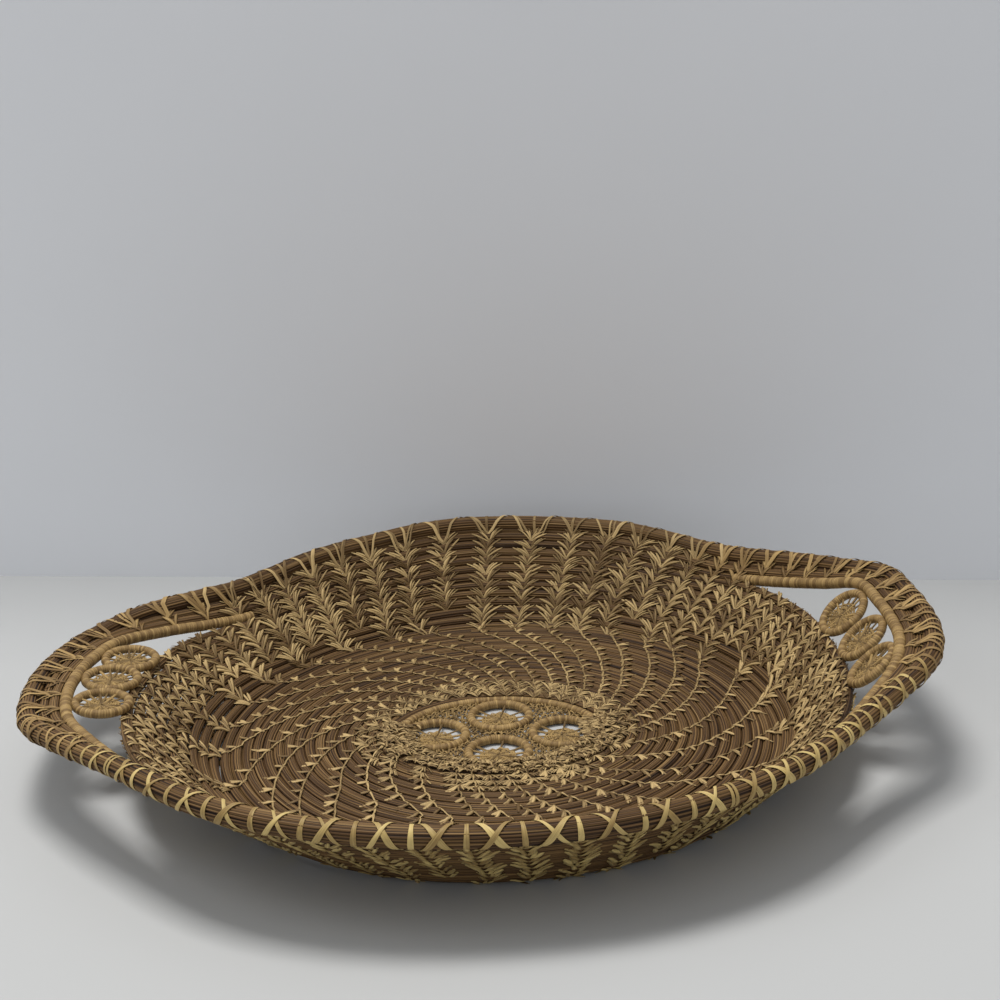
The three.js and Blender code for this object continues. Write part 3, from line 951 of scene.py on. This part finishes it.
# %% Strand tree
def strand_tree():
    """Sweep flat strips of raffia along lines."""
    sizes = {"Flatness": 0.24, "Sides": 4, "Creases": 0.0, "Crease depth": 0.0, "Lowest": 0.02 * MM}
    nodes, given = geometry_tree("raffia_strand", sizes)
    lines = faced_lines(nodes, given["Geometry"])
    circle = nodes.add("GeometryNodeCurvePrimitiveCircle", {"Resolution": given["Sides"], "Radius": 0.5})
    x, y, z = nodes.split(nodes.add("GeometryNodeInputPosition").outputs[0])
    waves = nodes.math("MULTIPLY", nodes.math("MULTIPLY", y, given["Creases"]), full_turn)
    crease = nodes.math("MULTIPLY", nodes.math("COSINE", waves), given["Crease depth"])
    thin = nodes.math("ADD", nodes.math("MULTIPLY", x, given["Flatness"]), crease)
    ring = store(nodes, circle.outputs[0], "sideways", nodes.math("MULTIPLY", y, 2.0))
    flat = nodes.combine(thin, y, 0.0)
    section = nodes.add("GeometryNodeSetPosition", {"Geometry": ring, "Position": flat}).outputs[0]
    body = sweep(nodes, lines, section)
    grain = nodes.combine(named(nodes, "sideways"), 0.0, named(nodes, "along"))
    body = store(nodes, body, "grain", grain, "FLOAT_VECTOR")
    return end_tree(nodes, keep_above(nodes, body, given["Lowest"]), given["Material"])


strip = strand_tree()


# %% Laying shapes on points
def stitch_tree():
    """Lay small shapes on points, each one turned, sized and toned a little differently."""
    sizes = {
        "Shapes": "NodeSocketCollection", "Turn": 0.16, "Size change": 0.14, "Tone change": 0.3, "Seed": 1,
        "Lowest": 0.02 * MM,
    }
    nodes, given = geometry_tree("sewn_stitches", sizes)
    inputs = {"Collection": given["Shapes"], "Separate Children": True}
    shapes = nodes.add("GeometryNodeCollectionInfo", inputs)

    def draw(low, high, seed):
        """A number between two others, drawn for each point."""
        made = nodes.add("FunctionNodeRandomValue", {2: low, 3: high}, data_type="FLOAT")
        nodes.feed(made.inputs["Seed"], nodes.math("ADD", given["Seed"], seed))
        return made.outputs[1]

    def change(label, seed):
        """A number between minus and plus one of the tree's sizes."""
        return draw(nodes.math("MULTIPLY", given[label], -1.0), given[label], seed)

    pick = nodes.math("FLOOR", draw(0.0, 99.0, 11))
    faced = nodes.add("FunctionNodeAxesToRotation", {}, primary_axis="Z", secondary_axis="X")
    nodes.feed(faced.inputs["Primary Axis"], named(nodes, "up", "FLOAT_VECTOR"))
    nodes.feed(faced.inputs["Secondary Axis"], named(nodes, "side", "FLOAT_VECTOR"))
    turn = nodes.add("FunctionNodeAxisAngleToRotation", {"Axis": (0, 0, 1)})
    nodes.feed(turn.inputs["Angle"], change("Turn", 5))
    turned = nodes.add("FunctionNodeRotateRotation", {}, rotation_space="LOCAL")
    nodes.feed(turned.inputs["Rotation"], faced.outputs[0])
    nodes.feed(turned.inputs["Rotate By"], turn.outputs[0])
    size = nodes.math("MULTIPLY", named(nodes, "size"), nodes.math("ADD", 1.0, change("Size change", 7)))
    laid = nodes.add("GeometryNodeInstanceOnPoints", {"Points": given["Geometry"], "Pick Instance": True})
    nodes.feed(laid.inputs["Instance"], shapes.outputs[0])
    nodes.feed(laid.inputs["Instance Index"], pick)
    nodes.feed(laid.inputs["Rotation"], turned.outputs[0])
    nodes.feed(laid.inputs["Scale"], nodes.combine(size, size, 1.0))
    toned = store(nodes, laid.outputs[0], "shade", change("Tone change", 3), domain="INSTANCE")
    real = nodes.add("GeometryNodeRealizeInstances", {"Geometry": toned}).outputs[0]
    real = store(nodes, real, "tone", nodes.math("ADD", named(nodes, "tone"), named(nodes, "shade")))
    return end_tree(nodes, keep_above(nodes, real, given["Lowest"]), given["Material"])


sewing = stitch_tree()
strip_sizes = {"Material": stitch_finish}


def shape_set(name, maker, count):
    """A collection with a few versions of a small shape, drawn with fixed seeds."""
    shapes = bpy.data.collections.new(name)
    scene.collection.children.link(shapes)
    for number in range(count):
        draw = random.Random(number * 7 + len(name))
        strands = maker(draw)
        shape = grow(name + "_" + str(number), line_mesh(name, strands, seed=number), strip, strip_sizes)
        shapes.objects.link(shape)
        bpy.context.collection.objects.unlink(shape)
    return shapes


def forget(shapes):
    """Take away a collection of shapes once they have been laid."""
    for shape in list(shapes.objects):
        bpy.data.objects.remove(shape)
    bpy.data.collections.remove(shapes)


def lay(name, shapes, spots, faces, sides, size, options):
    """Lay shapes on spots. A face is the way a shape looks up, a side is its own right hand."""
    mesh = bpy.data.meshes.new(name)
    mesh.from_pydata(spots, [], [])
    give(mesh, "up", np.broadcast_to(faces, spots.shape))
    give(mesh, "side", sides)
    give(mesh, "size", np.full(len(spots), size))
    return grow(name, mesh, sewing, {"Shapes": shapes, **strip_sizes, **options})


# %% [markdown]
# ## Stitches
# Each row is sewn to the one inside it. The stitches stand in ribs. Half of the ribs begin beside the
# medallion, swirl over the floor and climb the wall, and new ones begin between them at the foot of the
# wall. On the wall a stitch is a V whose legs arch over one row. On the floor one side of the stitches runs
# along the rib as a plaited line, and the other side hangs from it like leaves. Outside, and on the bands
# over the handles, the blades are fewer, wider and looser. There are thousands of stitches, so a few
# versions of each kind are drawn and laid wherever a rib crosses a row, each turned and toned by chance.

# %% Ribs at the rim
# Degrees between neighbouring ribs, at places round the rim of the real basket
rib_gaps = (
    (-180, 4.4), (-150, 5.6), (-135, 6.2), (-108, 6.4), (-88, 7.6), (-65, 5.9), (-35, 5.2), (-12, 4.2),
    (18, 4.2), (45, 5.6), (63, 6.5), (77, 8.2), (92, 8.7), (105, 6.4), (128, 5.9), (150, 4.8), (180, 4.4),
)
marked_rib = math.radians(84.4)

rib_angles = np.radians([angle for angle, gap in rib_gaps])
lap_turns = np.linspace(-math.pi, math.pi, 1441)
rib_density = 1 / np.radians(np.interp(lap_turns, rib_angles, [gap for angle, gap in rib_gaps]))
mean_density = (rib_density[1:] + rib_density[:-1]) / 2
ribs_passed = np.concatenate([[0], np.cumsum(mean_density * np.diff(lap_turns))])
rib_count = round(ribs_passed[-1])
ribs_passed *= rib_count / ribs_passed[-1]
ribs_passed -= np.interp(marked_rib, lap_turns, ribs_passed)


def rib_turn(number):
    """The angle of a rib at the rim, by its number."""
    laps = np.floor((number - ribs_passed[0]) / rib_count)
    return laps * full_turn + np.interp(number - laps * rib_count, ribs_passed, lap_turns)


print("ribs at the rim:", rib_count)

# %% Ribs of floor and wall
# Every third or so floor rib of the real basket: its number, then its angle in degrees beside the
# medallion, half way over the floor and at the floor's edge
floor_ribs = (
    (0, -11, 6, 28), (3, 20, 38, 54), (7, 54, 70, 88), (10, 82, 95, 117), (13, 111, 127, 154),
    (15, 134, 150, 178), (17, 153, 176, 212), (19, 178, 210, 232), (21, 205, 240, 248), (23, 242, 258, 266),
    (26, 269, 282, 291), (28, 290, 301, 316), (30, 307, 322, 348), (33, 349, 366, 388),
)
floor_levels = (2.5, 8.5, 15.5)
wall_level, new_rib_level, rim_level = 18.5, 19.4, 29.0
wall_drift = math.radians(2.0)
wall_lean = math.radians(2.2)

settling_rounds = 8
coil_start = coil.turn[0]
Rib = namedtuple("Rib", "levels angles")


def make_ribs():
    """The ribs of the floor, which go on up the wall, and the ribs that begin on the wall."""
    places = np.array(floor_ribs, dtype=float)
    columns = places.T[1:]
    rims = np.array([float(rib_turn(number)) % full_turn for number in range(rib_count)])
    taken = set()
    long_ribs = []
    for number in range(int(places[-1, 0])):
        inner, middle, edge = (math.radians(np.interp(number, places[:, 0], column)) for column in columns)
        distance = np.abs((rims + wall_lean - edge - wall_drift + math.pi) % full_turn - math.pi)
        nearest = next(int(rib) for rib in np.argsort(distance) if int(rib) not in taken)
        taken.add(nearest)
        head = edge + wall_drift + turn_between(edge + wall_drift, rims[nearest] + wall_lean)
        start = inner - (middle - inner) / (floor_levels[1] - floor_levels[0]) * floor_levels[0]
        levels = (0.0,) + floor_levels + (wall_level, rim_level)
        long_ribs.append(Rib(levels, (start, inner, middle, edge, head, head - wall_lean)))
    short_ribs = [
        Rib((new_rib_level, rim_level), (rims[rib] + wall_lean, rims[rib]))
        for rib in range(rib_count) if rib not in taken
    ]
    return long_ribs, short_ribs


def rib_crossings(rib):
    """The angles along the coil at which it meets a rib, one for each row."""
    laps = np.arange(-2, math.ceil(loops) + 2)
    turns = rib.angles[-1] + laps * full_turn
    for _ in range(settling_rounds):
        turns = np.interp((turns - coil_start) / full_turn, rib.levels, rib.angles) + laps * full_turn
    levels = (turns - coil_start) / full_turn
    return turns[(levels >= rib.levels[0]) & (levels <= rib.levels[-1]) & (turns < coil.turn[-1])]


long_ribs, short_ribs = make_ribs()
crossings = np.sort(np.concatenate([rib_crossings(rib) for rib in long_ribs + short_ribs]))
print("ribs of the floor:", len(long_ribs), "and new ones on the wall:", len(short_ribs))

# %% Stitch shapes
half_row = row_pitch / 2
leg_steps = 6
across_row = (-1.7, -1.1, -0.55, 0.0, 0.55, 0.9, 1.15, 1.5)
height_over_row = (1.4, 1.5, 2.0, 2.3, 2.3, 2.2, 2.1, 1.9)


def over_row(y):
    """How high a strand lies at a distance across its row: it comes up the groove and bridges the next."""
    return np.interp(y / half_row, across_row, height_over_row) * MM


def leg(reach, start, end, width, bend):
    """One strand of a stitch: it climbs over the row and curves out to its tip."""
    share = np.linspace(0, 1, leg_steps)
    x = reach * ((1 - bend) * share + bend * (1 - np.cos(share * math.pi / 2)))
    y = start + (end - start) * ((1 - bend) * share + bend * np.sin(share * math.pi / 2))
    spots = np.stack([x, y, over_row(y)], axis=1)
    taper = width * np.interp(share, [0, 0.25, 0.6, 0.9, 1], [0.6, 0.95, 1.0, 0.8, 0.45])
    tilt = y * 0.3 / half_row
    return Strand(spots, np.stack([x * 0, tilt, x * 0 + 1], axis=1), taper)


def fern_stitch(draw):
    """The V of the wall: on both sides three or four slender blades that fan out."""
    strands = []
    for side in (-1, 1):
        reach = draw.uniform(6.5, 9.5) * MM
        start = -half_row * draw.uniform(1.4, 1.8)
        end = half_row * draw.uniform(0.7, 1.2)
        for strand in range(draw.choice((3, 3, 4))):
            width = draw.uniform(0.8, 1.45) * MM
            strands.append(leg(side * reach, start, end, width, draw.uniform(0.0, 0.4)))
            reach *= draw.uniform(0.55, 0.9)
            start += draw.uniform(0.0, 0.6) * MM
            end = half_row * draw.uniform(0.8, 1.6)
    return strands


def broad_stitch(draw):
    """The V of the wall beside the handles: two or three broad blades on both sides."""
    strands = []
    for side in (-1, 1):
        reach = draw.uniform(5.5, 8.0) * MM
        for strand in range(draw.choice((2, 2, 3))):
            start = -half_row * draw.uniform(1.2, 1.7)
            end = half_row * draw.uniform(0.9, 1.6)
            width = draw.uniform(1.3, 2.1) * MM
            strands.append(leg(side * reach, start, end, width, draw.uniform(0.0, 0.4)))
            reach *= draw.uniform(0.55, 0.8)
    return strands


def leaf_stitch(draw):
    """The V of the outside and of the handles: a few loose, wide blades that span two rows."""
    strands = []
    for side in (-1, 1):
        for strand in range(draw.choice((1, 2, 2))):
            reach = draw.uniform(2.5, 7.0) * MM
            start = -half_row * draw.uniform(1.2, 2.0)
            end = half_row * draw.uniform(1.6, 3.0)
            width = draw.uniform(1.4, 2.3) * MM
            strands.append(leg(side * reach, start, end, width, draw.uniform(0.0, 0.4)))
    return strands


def floor_barb(draw):
    """The loose side of a floor stitch: a few strands that hang from the rib like leaves."""
    strands = []
    for barb in range(draw.choice((2, 3, 3))):
        reach = draw.uniform(0.9, 2.8) * MM
        start = -half_row * draw.uniform(0.0, 0.5)
        end = half_row * draw.uniform(0.9, 2.0)
        strands.append(leg(reach, start, end, draw.uniform(0.8, 1.5) * MM, draw.uniform(0.3, 1.0)))
    return strands


fern_shapes = shape_set("fern_stitch", fern_stitch, 14)
broad_shapes = shape_set("broad_stitch", broad_stitch, 12)
leaf_shapes = shape_set("leaf_stitch", leaf_stitch, 12)
barb_shapes = shape_set("floor_barb", floor_barb, 10)


# %% Sewing the rows
stray = 0.5 * MM


def sew(name, shapes, turns, inside, options, size):
    """Lay stitches on the rows, on the bowl's face or on its back."""
    draw = np.random.default_rng(len(name))
    radius = curve_through(coil.turn, coil.radius, turns)
    turns = turns + draw.uniform(-stray, stray, len(turns)) / radius
    spot, ahead, across, out = row_frame(turns)
    face = out if inside else -out
    side = -ahead if inside else ahead
    dress(lay(name, shapes, spot, face, side, size, options), "raffia_wrap")


# Loops from the start of the coil, or from the start of the wall
first_plait, first_barb, medallion_edge, wall_rise = (full_turn * loop for loop in (0.4, 0.5, 3.5, 0.5))
# How far to the side the places beside the handles begin, as a cosine
handle_side, wall_side_start = 0.75, 0.7
wall_start, wall_end = spans["wall_coil"]
wall_foot = wall_start + wall_rise
floor_turns = crossings[(crossings > coil_start + first_barb) & (crossings < wall_foot)]
inner_turns = floor_turns[floor_turns < coil_start + medallion_edge]
wall_turns = crossings[(crossings >= wall_foot) & (crossings < wall_end)]
upper_turns = np.concatenate([
    crossings[(crossings > start) & (crossings < end)]
    for start, end in (spans["front_upper_row"], spans["band_coil"])
])
beside_handle = np.abs(np.cos(upper_turns)) > handle_side
wall_side = np.abs(np.cos(wall_turns)) > wall_side_start
opening_edge = wall_side & (wall_turns > wall_end - full_turn)
for number, (name, inner_shapes, outer_shapes, turns, size) in enumerate((
    ("floor_barbs", barb_shapes, barb_shapes, floor_turns, 1.3),
    ("medallion_stitches", fern_shapes, fern_shapes, inner_turns, 0.75),
    ("wall_stitches", fern_shapes, leaf_shapes, wall_turns[~wall_side], 1.0),
    ("side_stitches", broad_shapes, leaf_shapes, wall_turns[wall_side & ~opening_edge], 1.0),
    ("edge_stitches", broad_shapes, broad_shapes, wall_turns[opening_edge], 0.8),
    ("upper_stitches", fern_shapes, leaf_shapes, upper_turns[~beside_handle], 1.0),
    ("handle_stitches", leaf_shapes, leaf_shapes, upper_turns[beside_handle], 0.85),
)):
    for inside, suffix, shapes, leaf_finish, seed in (
        (True, "", inner_shapes, wrap_finish, number),
        (False, "_outside", outer_shapes, lash_finish_with_painted_light, number + 10),
    ):
        # Leaf blades on the outside take the lashing raffia, lightened there as painted light
        finish = leaf_finish if shapes is leaf_shapes else stitch_finish
        options = {"Seed": seed, "Tone change": 0.45, "Material": finish}
        sew(name + suffix, shapes, turns, inside, options, size)
for shapes in (fern_shapes, broad_shapes, leaf_shapes, barb_shapes):
    forget(shapes)
print("stitches on the floor, the wall and above:", len(floor_turns), len(wall_turns), len(upper_turns))


# %% Plaited lines of the floor
plait_places = (-0.85, -0.3, 0.3, 0.85)
plait_wander = 0.35 * MM


def plait(rib, inside, shift, width):
    """The part of the stitches that runs along a floor rib, from the medallion to the wall."""
    turns = rib_crossings(rib)
    turns = turns[(turns > coil_start + first_plait) & (turns < wall_foot)]
    spot, ahead, across, out = row_frame(turns)
    radius = curve_through(coil.turn, coil.radius, turns)
    climb = np.gradient(turns - full_turn * np.arange(len(turns))) * radius / row_pitch
    face = out if inside else -out
    spots = []
    for row in range(len(turns)):
        for place in plait_places:
            y = place * half_row
            x = climb[row] * y + shift * math.cos(math.pi * (row + place / 2))
            spots.append(spot[row] + across[row] * y + ahead[row] * x + face[row] * over_row(y))
    return Strand(np.array(spots), np.repeat(face, len(plait_places), axis=0), width)


plait_strands = ((plait_wander, 0.85 * MM), (-plait_wander, 0.6 * MM))
for name, inside in (("floor_plaits", True), ("floor_plaits_below", False)):
    strands = [plait(rib, inside, shift, width) for rib in long_ribs for shift, width in plait_strands]
    dress(grow(name, line_mesh(name + "_lines", strands, seed=12), strip, strip_sizes), "raffia_wrap")

# %% [markdown]
# ## Lashing of the rim
# The rim is bound to the rows under it at every rib. A strap goes straight over it, and two arms lean over
# it to the next ribs on both sides, so the arms of neighbouring ribs cross on the outside. A strip has to
# hug the rim where it lies, so each one is its own line and not a copy of one shape.

# %% The way over the rim
lap_steps = 13
lash_reach = 2.3 * MM
foot_depth = 0.9 * MM
lash_places = (0, 0.15, 0.35, 0.6, 0.85, 1)
lash_taper = (0.5, 1, 1.1, 0.7, 0.9, 0.5)


def top_row(angle):
    """The row under the rim at an angle, as an angle along the coil."""
    end = spans["band_coil"][1]
    return end - (end - angle) % full_turn


def over_rim(turn_from, turn_to, width, lift):
    """A strip from the outside of the row under the rim, over the rim, to that row's inside."""
    lap = np.radians(np.linspace(-8, 188, lap_steps))
    share = np.concatenate([[0.0, 0.1], np.linspace(0.22, 0.78, lap_steps), [0.9, 1.0]])
    turn = turn_from + (turn_to - turn_from) * share
    row_spot, ahead, across, out = row_frame(top_row(turn))
    spot = spot_at(rim, turn)
    upright = spot - row_spot
    upright = unit(upright - (upright * ahead).sum(axis=1, keepdims=True) * ahead)
    inward = np.cross(upright, ahead)
    normal = np.empty_like(spot)
    spots = np.empty_like(spot)
    middle = slice(2, 2 + lap_steps)
    normal[middle] = -np.cos(lap)[:, None] * inward[middle] + np.sin(lap)[:, None] * upright[middle]
    spots[middle] = spot[middle] + normal[middle] * (rim_width / 2 + lift)
    for end, side in ((0, -1), (1, -1), (-2, 1), (-1, 1)):
        deep = end in (0, -1)
        normal[end] = side * out[end]
        spots[end] = row_spot[end] + normal[end] * (lash_reach + lift - (foot_depth if deep else 0))
        if deep:
            spots[end] -= across[end] * half_row
    return Strand(spots, normal, width * np.interp(share, lash_places, lash_taper))


# %% Lashing
def frontness(turn):
    """How much of the wide front lashing a place has, 0 to 1."""
    return float(np.clip(math.cos(turn + math.pi / 2) * 2.2 - 0.6, 0, 1))


def lashing(place):
    """All strips over the rim in one place: in front, beside the handles or at the back."""
    draw = random.Random(21)
    strands = []
    for rib in range(rib_count):
        turn = float(rib_turn(rib)) % full_turn
        wide = frontness(turn)
        gap = {side: float(rib_turn(rib + side) - rib_turn(rib)) for side in (-1, 1)}
        values = [draw.uniform(-1, 1) for _ in range(12)]
        front = wide > 0.3
        beside = abs(math.cos(turn)) > handle_side
        if place != ("front" if front else "handles" if beside else "back"):
            continue
        width = (2.2 if place == "handles" else 1.7 + 0.3 * wide) * MM
        for side in (-1, 1):
            arms = 2 if not front and values[7 + side] > 0.6 else 1
            for arm in range(arms):
                foot = turn + gap[side] * (0.04 + 0.09 * arm)
                head = turn + gap[side] * (1.0 + 0.12 * values[side + 1] - 0.12 * arm)
                lift = (0.3 + 0.12 * side + 0.1 * arm) * MM
                size = width * (1 + 0.3 * values[side + 3]) * (0.75 if arms == 2 else 1)
                strands.append(over_rim(foot, head, size, lift))
        straps = 2 if values[5] > 0.7 else 1
        for strap in range(straps):
            foot = turn + (0.06 * values[6] + 0.11 * (strap - 0.5 * (straps - 1))) * gap[1]
            head = foot + 0.1 * values[8] * gap[1]
            strands.append(over_rim(foot, head, width * (1.0 if straps == 1 else 0.7), 0.12 * MM))
    return strands


lash_sizes = {"Flatness": 0.12, "Sides": 16, "Creases": 2.0, "Crease depth": 0.03}
for place, finish in (("front", lash_finish_with_painted_light), ("handles", wrap_finish), ("back", stitch_finish)):
    name = "rim_lashing_" + place
    lines = line_mesh(name + "_lines", lashing(place), seed=9)
    dress(grow(name, lines, strip, {**lash_sizes, "Material": finish}), "raffia_wrap")

# %% [markdown]
# ## Woven wheels and netting
# Each ring holds a wheel of raffia: spokes from its hub to the ring, and a thread that winds round the hub
# over and under the spokes. The hub lies a little towards the camera, and the winding leaves gaps on the
# far side, through which the table shows. Small knots hide the front of the hoop, and a net of threads
# lies between the floor rings and the hoop. All of it is real thread and not a picture on a disc, because
# light falls through it on the table.

# %% Wheels
thread = 0.8 * MM
cord_radius = ring_cord / 2
hub_shift = 0.25
hub_sag = 0.5 * MM
near_fan, far_fan = math.radians(105), math.radians(50)
spoke_shares = np.array([0.04, 0.35, 0.7, 1.0, 1.0])
spoke_end = np.array([0, 0, 0, 0, 0.6]) * MM
spoke_lift = np.array([0.5, 0.4, 0.2, 0.1, -0.6]) * MM


def wheel(node, near_spokes, far_spokes, least, draw):
    """The strands of one wheel. On the far side the winding fills only the least share of the ring."""
    middle, halves, first_way, second_way, axis = oval_frame(node.replace("web", "ring"))
    opening = halves[0] + growth_of(node) - cord_radius
    near = -np.array(camera_up)
    toward = math.atan2(near @ second_way, near @ first_way)
    hub = np.array([math.cos(toward), math.sin(toward)]) * opening * hub_shift

    def reach(angle):
        """How far the ring is from the hub, one way."""
        along = hub[0] * np.cos(angle) + hub[1] * np.sin(angle)
        return np.sqrt(along**2 - hub @ hub + opening**2) - along

    def strand(angle, length, height, width):
        """A thread through spots at angles, distances and heights from the hub."""
        x = (hub[0] + length * np.cos(angle))[:, None]
        y = (hub[1] + length * np.sin(angle))[:, None]
        return Strand(middle + x * first_way + y * second_way + height[:, None] * axis, axis, width)

    strands = []
    near_angles = toward + np.linspace(-near_fan, near_fan, near_spokes)
    far_angles = toward + math.pi + np.linspace(-far_fan, far_fan, far_spokes)
    for angle in np.concatenate([near_angles, far_angles]):
        angle += draw.uniform(-0.08, 0.08)
        height = -hub_sag * (1 - spoke_shares**2) + spoke_lift
        length = reach(angle) * spoke_shares + spoke_end
        strands.append(strand(angle, length, height, thread * draw.uniform(1.2, 1.8)))
    laps = opening / (thread * 0.9)
    spokes = near_spokes + far_spokes
    angle = np.arange(0, laps * full_turn, full_turn / spokes / 2)
    nearness = (1 + np.cos(angle - toward)) / 2
    share = (0.08 + 0.9 * angle / angle[-1]) * (least + (1 - least) * nearness)
    ragged = np.array([draw.uniform(-0.3, 0.3) for _ in angle]) * MM
    phase = np.pi * np.arange(len(angle)) / 2 + np.pi * np.floor(angle / full_turn)
    height = 0.5 * MM * np.cos(phase) + ragged + 0.1 * MM - hub_sag
    width = thread * np.array([draw.uniform(0.7, 1.4) for _ in angle])
    strands.append(strand(angle, reach(angle) * share + ragged, height, width))
    return strands


# Spokes on the near and on the far side, and the least share that the winding fills
floor_wheel = (9, 3, 0.5)
handle_wheel = (12, 6, 0.72)
wheel_sizes = {"Flatness": 0.6, "Sides": 6, "Material": lace_finish}
draw = random.Random(3)
for node in sorted(name for name in frame["nodes"] if "_web_" in name):
    numbers = floor_wheel if node.startswith("centre") else handle_wheel
    lines = line_mesh(node + "_lines", wheel(node, *numbers, draw), seed=2)
    dress(grow(node + "_wheel", lines, strip, wheel_sizes), "raffia_netting", node)

# %% Knots over the hoop
knot_arc = (165, 378)
knot_count = 850
knot_size = 0.85


def hoop_knots(draw):
    """Places of the small stitches that hide the front and the sides of the hoop."""
    middle, halves, long_way, short_way, axis = oval_frame("centre_hoop")
    angles = np.radians([draw.uniform(*knot_arc) for _ in range(knot_count)])
    reach = np.array([draw.uniform(0.85, 1.2) for _ in range(knot_count)])
    flat = np.cos(angles)[:, None] * long_way * halves[0] + np.sin(angles)[:, None] * short_way * halves[1]
    height = np.where(reach > 1, 0.4, np.clip(12 * reach - 11, -1.2, 1)) * MM
    return middle + flat * reach[:, None] + axis * height[:, None], axis, np.cross(axis, unit(flat))


knot_shapes = shape_set("medallion_knot", floor_barb, 8)
knots = lay("hoop_knots", knot_shapes, *hoop_knots(random.Random(8)), knot_size, {"Turn": 1.2})
dress(knots, "raffia_netting")
forget(knot_shapes)

# %% Netting
net_directions = (0.5, 2.1, 1.3)
net_spacing = 2.1 * MM
net_step = 1.1 * MM
net_wave = 0.5 * MM


def net(draw):
    """Threads inside the hoop and outside the four rings, which cross each other."""
    middle, halves, long_way, short_way, axis = oval_frame("centre_hoop")
    rings = [oval_frame("centre_ring_" + name) for name in ("east", "north", "west", "south")]
    clear = rings[0][1][0] + floor_ring_growth + 0.5 * cord_radius
    steps = np.arange(-halves[0], halves[0], net_step)
    strands = []
    for direction in net_directions:
        ahead = math.cos(direction) * long_way + math.sin(direction) * short_way
        beside = np.cross(axis, ahead)
        for line in np.arange(-halves[0], halves[0], net_spacing):
            wave = net_wave * np.sin(steps / net_spacing * 2.3 + line * 900)
            lift = net_wave * np.sin(steps / net_spacing * 3.1 + line * 700)
            offsets = ahead * steps[:, None] + beside * (line + wave)[:, None] + axis * lift[:, None]
            points = middle + offsets
            inside = (offsets @ long_way / halves[0]) ** 2 + (offsets @ short_way / halves[1]) ** 2 < 0.99
            for ring in rings:
                inside &= np.linalg.norm(points - ring[0], axis=1) > clear
            run = []
            for point, kept in zip(points, list(inside[1:]) + [False]):
                if kept:
                    run.append(point)
                    continue
                if len(run) > 2:
                    strands.append(Strand(np.array(run), axis, thread * draw.uniform(0.8, 1.2)))
                run = []
    return strands


net_lines = line_mesh("net_lines", net(random.Random(4)), seed=6)
dress(grow("medallion_net", net_lines, strip, wheel_sizes), "raffia_netting", "centre_netting")
